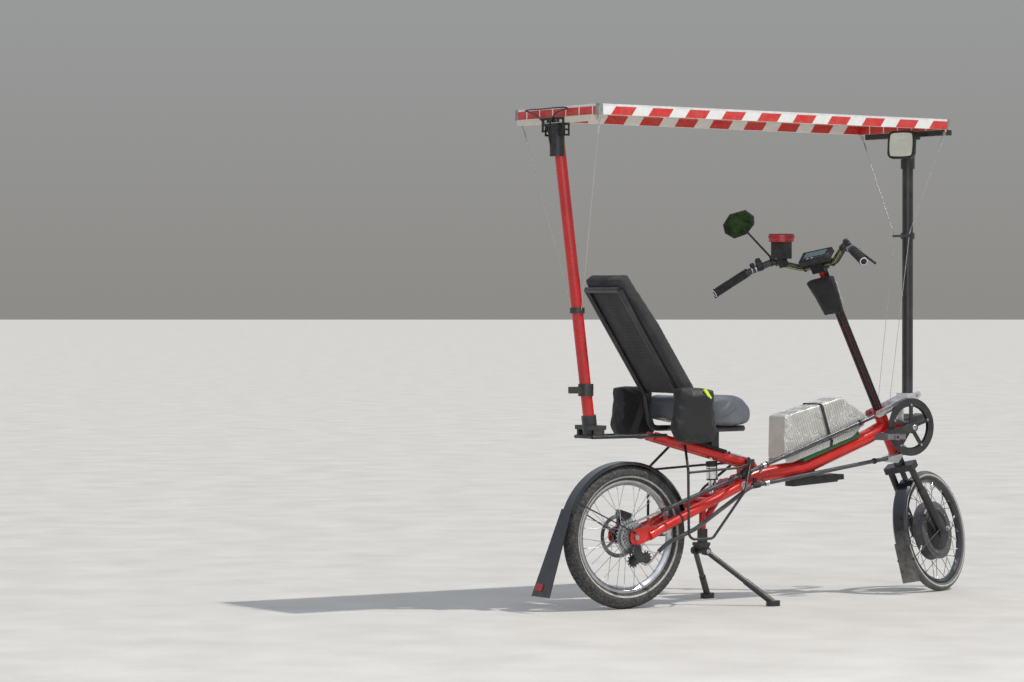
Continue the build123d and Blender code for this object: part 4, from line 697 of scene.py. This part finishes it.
def wheel_trim(body, wheel, depth, count, flange, hub_radius, steps, sticks):
    """Spoke nipples, valve and white reflector sticks of a wheel."""
    nipples = Batch(f"{body}_nipples", body, bright, "steel")
    reflectors = Batch(f"{body}_reflectors", body, white_reflector, "grey_plastic")
    per_side = count // 2
    spacing = 2 * math.pi / per_side
    for side in (1, -1):
        for number in range(per_side):
            lead = 1 if number % 2 == 0 else -1
            lift = lead * SPOKE_LIFT
            hub_angle = spacing * number + (spacing / 2 if side < 0 else 0)
            rim_angle = hub_angle + lead * steps * spacing
            start = wheel_point(wheel, hub_radius, hub_angle, side * flange + lift)
            end = wheel_point(wheel, RIM_SEAT - depth + 3, rim_angle, side * 4 + lift * 0.6)
            along = (end - start).normalized()
            nipples.lathe(end - along * 0.003, -along, [(0, 2.4), (9, 2.2), (12, 1.6)], 8)
            if (side, number) in sticks:
                reflectors.collar(start.lerp(end, 0.3), along, 2, 2.7, 53, 1, 10)
    valve = wheel_point(wheel, RIM_SEAT - depth - 26, 0.9, 0)
    nipples.lathe(valve, valve - wheel[0], [(0, 2.2), (6, 2.6), (7, 3.2), (29, 3.2)], 10)


def motor_trim():
    """Cover screws and raised rings on both sides of the hub motor."""
    screws = Batch("motor_screws", "front_wheel", steel, "steel")
    rings = Batch("motor_cover_rings", "front_wheel", motor_grey, "dark_alloy")
    hub, axis, forward, up = FRONT
    for side in (1, -1):
        for number in range(12):
            place = wheel_point(FRONT, 90, 2 * math.pi * number / 12 + 0.2, side * 24)
            screws.bolt(place, axis * side, 3.6, 2.4)
        for radius in (97, 82, 74):
            rings.tube(circle(hub + axis * side * 0.0242, forward, up, radius, 96), 1.1, 6, closed=True)


# Soft pieces
CLOTH_PRESSURE = 4
CLOTH_FRAMES = 20


def soft_copy(name, node, body, material, voxel, shrink, cap, rounds):
    """Padded piece grown from its CAD block: remeshed, rounded, then swollen by cloth pressure."""
    piece = bpy.data.objects.new(name, nodes[node].data.copy())
    bpy.context.scene.collection.objects.link(piece)
    piece.data.materials.clear()
    piece.data.materials.append(material)
    even_mesh(piece, voxel, rounds, lambda vert: -shrink)
    before = [vert.co.copy() for vert in piece.data.vertices]
    cloth = piece.modifiers.new("cloth", "CLOTH")
    cloth.settings.use_pressure = True
    cloth.settings.uniform_pressure_force = CLOTH_PRESSURE
    cloth.settings.effector_weights.gravity = 0
    cloth.settings.quality = 5
    cloth.point_cache.frame_start = 1
    cloth.point_cache.frame_end = CLOTH_FRAMES
    for number in range(1, CLOTH_FRAMES + 1):
        bpy.context.scene.frame_set(number)
    apply_modifiers(piece)
    bpy.context.scene.frame_set(1)
    for vert, start in zip(piece.data.vertices, before):
        moved = vert.co - start
        if moved.length > cap:
            vert.co = start + moved.normalized() * cap
    subdivide(piece)
    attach(piece, body)
    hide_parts(node)


# Battery cover of bubble foil
COVER_OUTLINE = ((702, 526), (704, 694), (846, 729), (980, 761), (1100, 692), (1092, 648))
COVER_NEAR = -41
COVER_FAR = 68
BUBBLE = 10.5
FOLD_WIDTH = 0.06


def rounded_outline(points, radius, step):
    """Closed outline with rounded corners, as points about a step apart, in millimetres."""
    line = []
    for corner in neighbours([Vector((*point, 0)) for point in points]):
        line += round_corner(*corner, radius, 7)
    even = []
    for start, end in zip(line, line[1:] + line[:1]):
        count = max(1, round((end - start).length / step))
        even += [start.lerp(end, number / count) for number in range(count)]
    return even


def loft(name, rings, material):
    """Skin over rings with the same number of points, on the frame."""
    verts = [point for ring in rings for point in ring]
    return add_mesh(name, verts, ring_faces(len(rings), len(rings[0])), "frame", material)


def foil_relief(vert):
    """Height of bubbles, folds and slack at a point of the cover, in metres."""
    place = (vert.co - ORIGIN) * 1000
    run = place.x * math.cos(FOIL_LEAN) + place.z * math.sin(FOIL_LEAN)
    rise = place.z * math.cos(FOIL_LEAN) - place.x * math.sin(FOIL_LEAN)
    second = rise if abs(vert.normal.y) > 0.6 else place.y
    bubble = abs(math.sin(math.pi * run / BUBBLE)) * abs(math.sin(math.pi * second / BUBBLE))
    crumple = noise.turbulence(vert.co * 22, 3, False, noise_basis="PERLIN_ORIGINAL")
    fold = max(0, FOLD_WIDTH - abs(noise.noise(vert.co * 14 + Vector((3, 7, 1))))) / FOLD_WIDTH
    slump = noise.noise(vert.co * 6 + Vector((9, 2, 5)))
    return (0.25 * bubble ** 0.6 - 2.2 * fold + 2.6 * slump - 0.5 * crumple - 1.2) / 1000


def foil_cover():
    """Cover over the battery: a block with rounded edges, and bubbles and folds as real relief."""
    outline = rounded_outline(COVER_OUTLINE, 10, 6)
    centre = sum(outline, Vector()) / len(outline)
    rings = []
    for y, inset in ((COVER_NEAR + 1, 9), (COVER_NEAR + 4, 3), (COVER_NEAR + 14, 1),
                     (COVER_FAR - 14, 1), (COVER_FAR - 4, 3), (COVER_FAR - 1, 9)):
        ring = [point + (centre - point).normalized() * inset for point in outline]
        rings.append([at(point.x, y, point.y) for point in ring])
    piece = loft("battery_cover_foil", rings, foil)
    even_mesh(piece, 0.003, 3, foil_relief)
    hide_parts("battery_cover")


def cover_edge(x):
    """Lower and upper height of the cover's outline at x."""
    heights = []
    for (x1, z1), (x2, z2) in zip(COVER_OUTLINE, COVER_OUTLINE[1:] + COVER_OUTLINE[:1]):
        if min(x1, x2) <= x <= max(x1, x2) and x1 != x2:
            heights.append(z1 + (x - x1) * (z2 - z1) / (x2 - x1))
    return min(heights), max(heights)


STRAP_LOW_X = 924
STRAP_HIGH_X = 876
STRAP_HALF_WIDTH = 0.006
STRAP_HALF_THICKNESS = 0.0008


def cover_strap():
    """Webbing band round the cover, leaning back from its bottom to its top."""
    low = cover_edge(STRAP_LOW_X)[0]
    high = cover_edge(STRAP_HIGH_X)[1]
    near = COVER_NEAR - 1.2
    far = COVER_FAR + 1.2
    corners = [at(STRAP_LOW_X, near, low), at(STRAP_HIGH_X, near, high),
               at(STRAP_HIGH_X, far, high), at(STRAP_LOW_X, far, low)]
    route = []
    for before, corner, after in neighbours(corners):
        back = (before - corner).normalized()
        ahead = (after - corner).normalized()
        route += [corner + back * 0.012, corner + (back + ahead) * 0.0036, corner + ahead * 0.012]
    centre = sum(corners, Vector()) / 4
    verts = []
    for point in route:
        outward = point - centre
        outward.x = 0
        outward = outward.normalized() * STRAP_HALF_THICKNESS
        for shift, lift in ((-1, -1), (1, -1), (1, 1), (-1, 1)):
            verts.append(point + FORWARD * shift * STRAP_HALF_WIDTH + outward * lift)
    faces = ring_faces(len(route), 4, closed=True)
    add_mesh("battery_strap", verts, faces, "frame", webbing, 40)


def cover_hem():
    """Loose hem of the cover down over the tray on both sides, and the strap's end on it."""
    for name, outer, inner in (("cover_hem_right", COVER_NEAR - 0.4, COVER_NEAR + 3.4),
                               ("cover_hem_left", COVER_FAR + 0.4, COVER_FAR - 3.4)):
        rings = []
        for step in range(40):
            x = 708 + step * 9.2
            top = cover_edge(x)[0] + 7
            foot = top - 29 * min(1, 0.72 + step / 12, 0.3 + (39 - step) / 6)
            sway = noise.noise(Vector((x * 0.03, outer, 0))) * 0.7
            middle = (outer + inner) / 2 + sway
            rings.append([at(x, outer, top), at(x, outer + sway, foot + 3), at(x, middle, foot),
                          at(x, inner + sway, foot + 3), at(x, inner, top)])
        subdivide(loft(name, rings, foil))
    tail = Batch("battery_strap_end", "frame", webbing, "bag_fabric")
    low = cover_edge(STRAP_LOW_X)[0]
    tail.block(at(926, COVER_NEAR - 1.4, low - 9), (FORWARD, LEFT, Vector((0.1, 0, 1))), (12, 1.6, 27))


# Handlebar dressing, in the steering frame
BAR_CLAMP = (-8, 0, 634)
BAR_LEFT = ((-8, 70, 634), (-48, 160, 700), (-118, 228, 704), (-234, 325, 688))
GRIP_LENGTH = 0.128


def bar_point(index, side):
    x, y, z = BAR_LEFT[index]
    return steer(x, side * y, z)


def bar_dressing():
    """Ribs, rings and end caps of the grips, with a pale ring set into each cap."""
    ribs = Batch("grip_ribs", "steering", rubber, "rubber")
    ends = Batch("grip_end_caps", "steering", rubber, "rubber")
    rings = Batch("grip_rings", "steering", black_satin, "dark_alloy")
    pale = Batch("grip_end_rings", "steering", white_mark, "grey_plastic")
    for side in (1, -1):
        end = bar_point(3, side)
        inward = (bar_point(2, side) - end).normalized()
        for number in (*range(9), *range(11, 20)):
            ribs.collar(end + inward * (0.01 + number * 0.0056), inward, 15.6, 16.9, 3.2, 0.6, 24)
        cap = [(-1, 16.4), (0.5, 17.2), (4.5, 16.2), (6.5, 12.5), (7, 6)]
        ends.lathe(end - inward * 0.0045, -inward, cap, 24)
        rings.collar(end + inward * 0.004, inward, 16.2, 17, 3.5, 0.5, 28)
        rings.collar(end + inward * (GRIP_LENGTH - 0.006), inward, 16.2, 17.2, 5, 0.5, 28)
        pale.tube(circle(end - inward * 0.0098, *basis(-inward), 13, 40), 2.1, 8, closed=True)


DISPLAY_TILT = math.radians(-14)


def display_face():
    """Screen, bezel and two buttons on the display's leaning face."""
    up_face = (STEER_X * math.cos(DISPLAY_TILT) - STEER_UP * math.sin(DISPLAY_TILT)).normalized()
    out = (STEER_X * math.sin(DISPLAY_TILT) + STEER_UP * math.cos(DISPLAY_TILT)).normalized()
    axes = (up_face, STEER_Y, out)
    centre = steer(-16, -8, 669) + out * 0.011
    screen = Batch("display_screen", "steering", screen_face, "display_plastic")
    screen.block(centre + out * 0.0004 + up_face * 0.006, axes, (32, 96, 1.2))
    corners = [centre + up_face * u / 1000 + STEER_Y * v / 1000
               for u, v in ((-27, -60), (27, -60), (27, 60), (-27, 60))]
    route = []
    for start, end in zip(corners, corners[1:] + corners[:1]):
        route += [start.lerp(end, t) for t in (0.08, 0.35, 0.65, 0.92)]
    bezel = Batch("display_bezel", "steering", plastic, "display_plastic")
    bezel.tube(route, 1.8, 8, closed=True)
    buttons = Batch("display_buttons", "steering", button_white, "display_plastic")
    for v in (8, 26):
        place = centre - up_face * 0.018 + STEER_Y * v / 1000
        buttons.block(place + out * 0.0006, axes, (5, 9, 2.4))


BAR_MIRROR = ((-68, -8), (-58, 22), (-18, 48), (34, 50), (62, 20), (58, -14), (20, -44), (-44, -42))
ROOF_MIRROR = ((-46, -30), (-46, 30), (-32, 44), (32, 44), (46, 30), (46, -30), (32, -44), (-32, -44))


def mirror_glass(name, body, material, place, across, facing, lift, outline, scale):
    """Flat glass with a soft edge, lifted off a mirror's shell."""
    out = facing.normalized()
    across = (across - out * across.dot(out)).normalized()
    up = out.cross(across)
    corners = [place + out * lift + across * x * scale / 1000 + up * y * scale / 1000 for x, y in outline]
    centre = sum(corners, Vector()) / len(corners)
    normal = (corners[1] - corners[0]).cross(corners[2] - corners[1]).normalized()
    ring = smooth_curve(corners, 6, True)
    verts = []
    for size, height in ((1, 0), (1, 0.0008), (0.965, 0.0012)):
        verts += [centre + (point - centre) * size + normal * height for point in ring]
    add_mesh(name, verts, ring_faces(3, len(ring), turn=1), body, material, 30)


def mirrors():
    # The bar mirror's glass carries a painted reflection in its colour.
    mirror_glass("bar_mirror_glass", "steering", mirror_painted_reflection, steer(-10, 262, 866), steer_dir(-0.25, 1, 0),
                 steer_dir(-1, -0.25, 0.12), 0.0122, BAR_MIRROR, 0.86)
    mirror_glass("roof_mirror_glass", "frame", mirror_face, at(1262, -52, 1722), Vector((0.5, -1, 0)),
                 Vector((-1, -0.5, 0.1)), 0.0162, ROOF_MIRROR, 1)


def bar_box_dressing():
    """Ridged rim and shallow dish of the bar box's red lid."""
    centre = steer(-50, 118, 703) + UP * 0.064
    rim = Batch("bar_box_lid", "steering", lid_red, "red_tube")
    rim.lathe(centre, UP, [(-1, 46), (-0.4, 48.9), (3.4, 48.9), (4, 48), (12, 48.4), (12.6, 49), (25, 49),
                           (27.4, 48.2), (30.2, 45), (30.6, 38), (29, 34), (28.8, 0.4)], 72)
    ribs = Batch("bar_box_lid_ribs", "steering", lid_red, "red_tube")
    for number in range(36):
        angle = 2 * math.pi * number / 36
        out = Vector((math.cos(angle), math.sin(angle), 0))
        ribs.block(centre + out * 0.0489 + UP * 0.0188, (out, UP.cross(out), UP), (1.6, 3, 9))


# Roof fittings
ROOF_REAR_X = -300
ROOF_FRONT_X = 1320
ROOF_HALF_WIDTH = 270
CORNER_INSET = 15
REAR_COLLAR = (-209, 28, 1092)
FRONT_COLLAR = (1300, 45, 1381)


def roof_under(x):
    return ROOF_UNDER_Z * 1000 - (x - ROOF_MIDDLE_X * 1000) * ROOF_FALL


def roof_fittings():
    """Corner caps, an eye bolt with a turnbuckle on each stay wire, and ferrules at the front collar."""
    caps = Batch("roof_corner_caps", "frame", cap_grey, "grey_plastic")
    eyes = Batch("roof_eye_bolts", "frame", steel, "steel")
    ferrules = Batch("wire_ferrules", "frame", steel, "steel")
    for x, outward, (collar_x, collar_y, collar_z) in ((ROOF_REAR_X + CORNER_INSET, -1, REAR_COLLAR),
                                                       (ROOF_FRONT_X - CORNER_INSET, 1, FRONT_COLLAR)):
        for side in (1, -1):
            corner = at(x + outward * 15.2, side * ROOF_HALF_WIDTH, roof_under(x) + 19)
            caps.block(corner + Vector((-outward * 0.01, -side * 0.0095, 0)), (FORWARD, LEFT, UP),
                       (22, 20.6, 39.2))
            top = at(x, side * (ROOF_HALF_WIDTH - CORNER_INSET), roof_under(x))
            foot = at(collar_x, side * collar_y, collar_z)
            down = (foot - top).normalized()
            eyes.lathe(top + UP * 0.001, -UP, [(0, 6.5), (2.2, 6.5), (2.4, 3.4), (9, 3.4)], 6)
            eyes.tube(circle(top + down * 0.016, *basis(LEFT), 6.5, 20), 1.5, 8, closed=True)
            eyes.lathe(top + down * 0.024, down, [(0, 1.2), (1, 2.2), (10, 2.2), (11, 1.4), (12, 1.4)], 8)
            barrel = [(0, 1.4), (1, 3.4), (5, 3.6), (30, 3.6), (34, 3.4), (35, 1.4)]
            eyes.lathe(top + down * 0.036, down, barrel, 10)
            eyes.lathe(top + down * 0.071, down, [(0, 1.4), (10, 2.2), (11, 2.2), (12, 1.2)], 8)
            if outward > 0:
                ferrules.lathe(foot - down * 0.004, -down, [(0, 1.4), (0.5, 2.4), (14, 2.4), (15, 1.4)], 8)


# Cables and small controls along the bar, in the steering frame
BAR_BEND = 46
BAR_RADIUS = 11


def bar_line(side):
    """Middle line of half the bar, from the clamp to the brake lever, in local millimetres."""
    corners = [Vector((x, y * side, z)) for x, y, z in (BAR_CLAMP, *BAR_LEFT)]
    corners[4] = corners[3] + (corners[4] - corners[3]).normalized() * 16
    line = [corners[0] + LEFT * 22 * side]
    for before, corner, after in zip(corners, corners[1:], corners[2:]):
        bend = math.pi - (before - corner).angle(after - corner)
        line += round_corner(before, corner, after, BAR_BEND * math.tan(bend / 2), 5)
    line.append(corners[-1])
    return line


def beside(line, direction, distance):
    """Points of the steering frame beside a line, square to it."""
    result = []
    for index, point in enumerate(line):
        along = (line[min(index + 1, len(line) - 1)] - line[max(index - 1, 0)]).normalized()
        out = (direction - along * direction.dot(along)).normalized()
        result.append(steer(*(point + out * distance)))
    return result


def bar_cables():
    """Brake and gear cables tied along the bar, and the thin light cable behind it."""
    cables = Batch("bar_cables", "steering", cable_black, "rubber")
    ties = Batch("bar_cable_ties", "steering", plastic, "black_plastic")
    light = Batch("bar_light_cable", "steering", green_line, "green_plastic")
    for side in (1, -1):
        line = bar_line(side)
        for direction in (Vector((0.9, 0, -0.45)), Vector((0.35, 0, -0.95))):
            cables.tube(beside(line, direction, BAR_RADIUS + 2.7), 2.6, 8)
        light.tube(beside(line[:7], Vector((-0.95, 0, -0.3)), BAR_RADIUS + 0.8), 1.1, 6)
        for index in (2, 6, 9):
            along = (steer(*line[index + 1]) - steer(*line[index - 1])).normalized()
            place = steer(*line[index]) + steer_dir(0.5, 0, -0.55) * 0.0035 - along * 0.002
            ties.collar(place, along, 15.6, 16.2, 4, 0.3, 20)


def bar_controls():
    """Shifter and switch barrels between the grips and the clamp, with their knobs."""
    dark = Batch("bar_controls", "steering", plastic, "black_plastic")
    silver = Batch("bar_control_rings", "steering", steel, "steel")
    for side in (1, -1):
        inner = bar_point(1, side)
        outer = bar_point(2, side)
        along = (outer - inner).normalized()
        up = (STEER_UP - along * STEER_UP.dot(along)).normalized()
        ahead = along.cross(up) * side
        start = inner.lerp(outer, 0.42)
        middle = start + along * 0.013
        dark.lathe(start, along, [(0, 11.2), (0.5, 15), (5, 16.5), (20, 16.5), (25, 14), (26, 11.2)], 28)
        dark.block(middle + up * 0.017, (along, ahead, up), (22, 24, 14))
        dark.lathe(middle - ahead * 0.01, -ahead - up * 0.35, [(0, 5), (6, 5.4), (20, 4.6), (22, 3)], 12)
        dark.lathe(middle + up * 0.022, up, [(0, 9), (2, 10.5), (9, 10.5), (12, 8), (13, 1)], 28)
        knob = [(0, 8), (6, 9.5), (13, 9.5), (16, 7), (17, 1)]
        dark.lathe(start + along * 0.04 + up * 0.009, up, knob, 24)
        for shift in (0.03, 0.046):
            silver.collar(start + along * shift, along, 11.2, 13.2, 5, 0.5, 28)


def pouch_clip():
    """Bent wire clip on the pouch's right edge."""
    clip = Batch("pouch_clip", "steering", bright, "steel")
    route = [(-30, -50, 566), (-31, -58, 556), (-33, -57, 530), (-31, -53, 512), (-30, -50, 500),
             (-28, -53, 486), (-28, -49, 470)]
    clip.tube(smooth_curve([steer(*place) for place in route], 6), 2, 8)


def bag_tabs():
    """Bright pull tab on the front edge of each side bag."""
    tabs = Batch("bag_tabs", "frame", yellow_tab, "green_plastic")
    down = Vector((30, 0, -41)).normalized()
    for side in (1, -1):
        tabs.block(at(213, side * 221, 786), (down.cross(LEFT), LEFT, down), (12, 9, 42))


# Straight tubes and rails of the frame: start x and z, run and rise
SWING_ARM = (140, 298, 352, 142)
SEAT_TUBE_TOP = (566, 527.6, 446, -118)
UPPER_CHAIN_TUBE = (131, 356, 997, 329)
LOWER_CHAIN_TUBE = (540, 434, 649, 88)
MAST_RAIL = (1150, 688, 216, 80)


def on_line(line, x, y, lift=0):
    start_x, start_z, run, rise = line
    return at(x, y, start_z + (x - start_x) * rise / run + lift)


def tube_dressing():
    """Foam pads on the seat tubes, and bright rods held by rubber bands."""
    pad = Batch("seat_tube_pads", "frame", pad_foam, "rubber")
    rods = Batch("seat_tube_rods", "frame", bright, "steel")
    lean = Vector((-446, 0, 118)).normalized()
    out = Vector((118, 0, 446)).normalized()
    for side in (1, -1):
        pad.block(on_line(SEAT_TUBE_TOP, 349, side * 29, 3.4), (LEFT, out, lean), (25, 11, 174))
        start = on_line(SEAT_TUBE_TOP, 444, side * 27, 3)
        rods.collar(start, -lean, 3, 4, 113, 1, 12)
        for shift in (0.006, 0.1):
            pad.collar(start - lean * shift - out * 0.0005, -lean, 4.2, 6.2, 8, 0.4, 14)


def tube_bands():
    """Rubber bands round the swing arm's stays, and connectors on the chain tubes."""
    bands = Batch("rubber_bands", "frame", rubber, "rubber")
    for side in (1, -1):
        bands.collar(on_line(SWING_ARM, 206, side * 54), Vector((352, 0, 142)), 18, 19.6, 8, 0.5, 36)
    upper = Vector((997, 0, 329))
    for x, length in ((494, 44), (604, 10), (1050, 10)):
        bands.collar(on_line(UPPER_CHAIN_TUBE, x, -50), upper, 8, 11.2, length, 1, 24)
    bands.block(on_line(UPPER_CHAIN_TUBE, 514, -50), (Vector((-329, 0, 997)), LEFT, upper), (34, 18, 30))
    for x, length in ((546, 34), (1120, 12)):
        bands.collar(on_line(LOWER_CHAIN_TUBE, x, -50), Vector((649, 0, 88)), 8, 11, length, 1, 24)
    bands.block(at(560, -46, 452), (FORWARD, LEFT, UP), (14, 8, 26))


def shock_dressing():
    """Adjuster collars and end caps on the rear shock."""
    foot = on_line(SWING_ARM, 400, 0)
    top = at(392, 0, 554)
    along = (top - foot).normalized()
    length = (top - foot).length * 1000
    caps = Batch("shock_caps", "frame", black_satin, "dark_alloy")
    for place, radius, width in ((57, 21.6, 6), (length - 52, 21.7, 3), (length - 44, 21.9, 19)):
        caps.collar(foot + along * place / 1000, along, radius - 1, radius, width, 0.5, 36)
    collars = Batch("shock_collars", "frame", steel, "steel")
    for place in (26, 33):
        collars.collar(foot + along * place / 1000, along, 14, 16.4, 5, 0.6, 30)


# Punched straps and the panel's cable at the rear mast head
def punched_strap(batch, centre, right, up, columns, rows, pitch, bar, thickness):
    """Punched strap made of crossing bars, with its pitch and bar width across and up."""
    out = right.cross(up).normalized()
    width = columns * pitch[0]
    height = rows * pitch[1]
    for index in range(rows + 1):
        place = centre + up * (index * pitch[1] - height / 2) / 1000
        batch.block(place, (up, out, right), (bar[1], thickness, width + bar[0]))
    for index in range(columns + 1):
        place = centre + right * (index * pitch[0] - width / 2) / 1000
        batch.block(place, (right, out, up), (bar[0], thickness * 0.94, height + bar[1]))


def mast_head_dressing():
    """Straps and nuts that hold the rear mast head, and the panel's cable behind it."""
    straps = Batch("mast_head_straps", "frame", black_satin, "black_metal")
    under = roof_under(-296)
    punched_strap(straps, at(-314.6, 0, under - 27), LEFT, UP, 4, 2, (33, 22), (12, 8), 2.6)
    for side in (1, -1):
        place = at(-296, side * 46.3, under - 45)
        punched_strap(straps, place, FORWARD, UP, 2, 2, (19, 19), (7, 7), 2.4)
        straps.lathe(at(-316, side * 16.5, under - 16), -FORWARD, [(0, 6), (3, 6), (4, 3)], 6)
    cable = Batch("panel_cable", "frame", cable_black, "rubber")
    route = [(-317, 34, -44), (-317, 62, -14), (-317, 112, 14), (-318, 158, 27), (-324, 166, 31),
             (-330, 120, 32), (-332, 40, 31), (-331, -40, 32), (-327, -92, 31), (-320, -100, 27),
             (-317, -60, 22), (-317, -18, 12), (-322, 8, -24), (-327, 8, -62), (-323, 4, -98),
             (-314, 14, -118)]
    cable.tube(smooth_curve([at(x, y, under + rise) for x, y, rise in route], 8), 2.8, 10)


def flap_reflector():
    """Red reflector low on the rear mudguard's flap."""
    plate = Batch("flap_reflector", "frame", lid_red, "red_tube")
    down = Vector((-0.342, 0, -0.94))
    plate.block(at(-358.9, 22, 92.4), (LEFT, down, Vector((-0.94, 0, 0.342))), (44, 27, 4.4))


def front_guard_stays():
    """Stays of the front mudguard, with their eyes."""
    stays = Batch("front_guard_stays", "steering", black_satin, "black_metal")
    for side in (1, -1):
        axis = STEER_Y * side
        root = steer(24, side * 64, FRONT_DROP + 20)
        tip = wheel_point(FRONT, 256, math.radians(178), side * 33)
        stays.lathe(root, tip - root, [(0, 2), ((tip - root).length * 1000, 2)], 10)
        stays.lathe(root - axis * 0.003, axis, [(0, 4.5), (5, 4.5), (6, 3)], 12)
        stays.lathe(tip - axis * 0.003, axis, [(0, 4), (6, 4), (7, 2.5)], 12)


# Screws and nuts, one mesh for each body
CHAINRING_TEETH = 48
RING_PITCH = 12.7 / (2 * math.sin(math.pi / CHAINRING_TEETH))


def frame_screws():
    screws = Batch("frame_screws", "frame", steel, "steel")
    for side in (1, -1):
        axis = LEFT * side
        screws.bolt(at(492, side * 72.6, 440), axis, 9.5, 5.5)
        screws.lathe(at(492, side * 71.8, 440), axis, [(0, 15), (1.6, 15)], 24)
        for x in (1170, 1225, 1290, 1348):
            screws.lathe(on_line(MAST_RAIL, x, side * 36.8), axis, [(0, 8), (1.2, 8)], 20)
            screws.bolt(on_line(MAST_RAIL, x, side * 38), axis, 5, 3.2)


def crank_screws():
    screws = Batch("crank_screws", "crank", steel, "steel")
    reach = RING_PITCH - 12
    for number in range(5):
        angle = math.radians(72 * number + 18)
        centre = at(1302 + reach * math.cos(angle), -58.4, 640 + reach * math.sin(angle))
        screws.bolt(centre, -LEFT, 5, 2.6)
    for side in (-1, 1):
        screws.lathe(at(1302, side * 78, 640), LEFT * side, [(0, 11.5), (1.2, 11.5)], 24)
        screws.bolt(at(1302, side * 79, 640), LEFT * side, 9, 3.4)


def other_screws():
    discs = Batch("disc_screws", "rear_wheel", steel, "steel")
    for number in range(6):
        discs.bolt(wheel_point(REAR, 19, 2 * math.pi * number / 6, 38.4), LEFT, 3.2, 1.8)
    stand = Batch("stand_nuts", "stand", steel, "steel")
    ends = Batch("front_axle_ends", "steering", bright, "steel")
    for side in (1, -1):
        stand.lathe(at(345, side * 45.2, 198), LEFT * side, [(-0.4, 10), (4.25, 10), (5, 9)], 6)
        ends.lathe(steer(40, side * 73, FRONT_DROP), STEER_Y * side, [(-1, 6), (3, 6), (5.5, 4.2)], 16)


# Floor, lights and world
def floor_material():
    shader = Shader("paving")
    base = shader.tone(3, (0.52, 0.49, 0.45), (0.62, 0.59, 0.55))
    specks = shader.tone(90, 0.86, 1, 0.42, 0.62, 8)
    shader.bump(shader.noise(60, 6), 0.2, 0.002)
    return shader.finish(shader.mix(specks, (0.4, 0.38, 0.35), base), 0.75, 0.92, 8)


def build_stage():
    mesh = bpy.data.meshes.new("ground")
    reach = 400
    corners = [(-reach, -reach, 0), (reach, -reach, 0), (reach, reach, 0), (-reach, reach, 0)]
    mesh.from_pydata(corners, [], [(0, 1, 2, 3)])
    ground = bpy.data.objects.new("ground", mesh)
    ground.location.z = -0.0002
    ground.data.materials.append(floor_material())
    bpy.context.scene.collection.objects.link(ground)


def lamp(name, kind, energy, colour, direction, **values):
    """Light that shines along a direction."""
    data = bpy.data.lights.new(name, kind)
    data.energy = energy
    data.color = colour
    for key, value in values.items():
        setattr(data, key, value)
    made = bpy.data.objects.new(name, data)
    made.rotation_euler = direction.to_track_quat("-Z", "Y").to_euler()
    bpy.context.scene.collection.objects.link(made)
    return made


def build_lights():
    lamp("sun", "SUN", 2.6, (1, 0.965, 0.91), Vector((-0.45, 0.42, -1)), angle=math.radians(1.2))
    place = Vector((-2.5, -4.5, 2.5))
    fill = lamp("sky_fill", "AREA", 60, (0.93, 0.96, 1), Vector((0.1, 0, 0.9)) - place, size=4)
    fill.location = place
    world = bpy.data.worlds.new("world")
    bpy.context.scene.world = world
    world.use_nodes = True
    tree = world.node_tree
    tree.nodes.clear()
    kinds = ("TexCoord", "SeparateXYZ", "ValToRGB", "Background", "OutputWorld")
    coord, split, ramp, background, out = (tree.nodes.new(f"ShaderNode{kind}") for kind in kinds)
    for source, target in ((coord.outputs["Generated"], split), (split.outputs[2], ramp),
                           (ramp.outputs[0], background), (background.outputs[0], out)):
        tree.links.new(source, target.inputs[0])
    low, high = ramp.color_ramp.elements
    low.position = 0
    low.color = (0.36, 0.35, 0.33, 1)
    high.position = 0.5
    high.color = (0.72, 0.8, 0.92, 1)
    background.inputs[1].default_value = 0.75


# Everything in order
wheel_tyre("rear_tyre", "rear_wheel", REAR, 264, 30.5, 88, rear_rubber)
wheel_tyre("front_tyre", "front_wheel", FRONT, 235, 16, 110, front_rubber)
wheel_trim("rear_wheel", REAR, 18, 32, 29, 30.5, 3, [])
wheel_trim("front_wheel", FRONT, 17, 36, 20, 113.5, 1, [(-1, 2), (-1, 8), (-1, 14)])
motor_trim()
soft_copy("seat_cushion", "seat_base", "frame", seat_leather, 0.006, 0.002, 0.004, 14)
soft_copy("seat_back_pad", "seat_back", "frame", seat_mesh, 0.006, 0.002, 0.006, 10)
soft_copy("side_bags", "seat_bags", "frame", bag_cloth, 0.006, 0.003, 0.006, 10)
soft_copy("bar_pouch_body", "bar_pouch", "steering", pouch_cloth, 0.004, 0.001, 0.006, 6)
foil_cover()
cover_strap()
cover_hem()
bar_dressing()
display_face()
mirrors()
bar_box_dressing()
roof_fittings()
bar_cables()
bar_controls()
pouch_clip()
bag_tabs()
tube_dressing()
tube_bands()
shock_dressing()
mast_head_dressing()
flap_reflector()
front_guard_stays()
frame_screws()
crank_screws()
other_screws()
for batch in batches:
    name, body, material, slot = batch.looks
    if batch.verts:
        add_mesh(name, batch.verts, batch.faces, body, material, 35)
build_stage()
build_lights()
bpy.context.scene.view_settings.view_transform = "Standard"
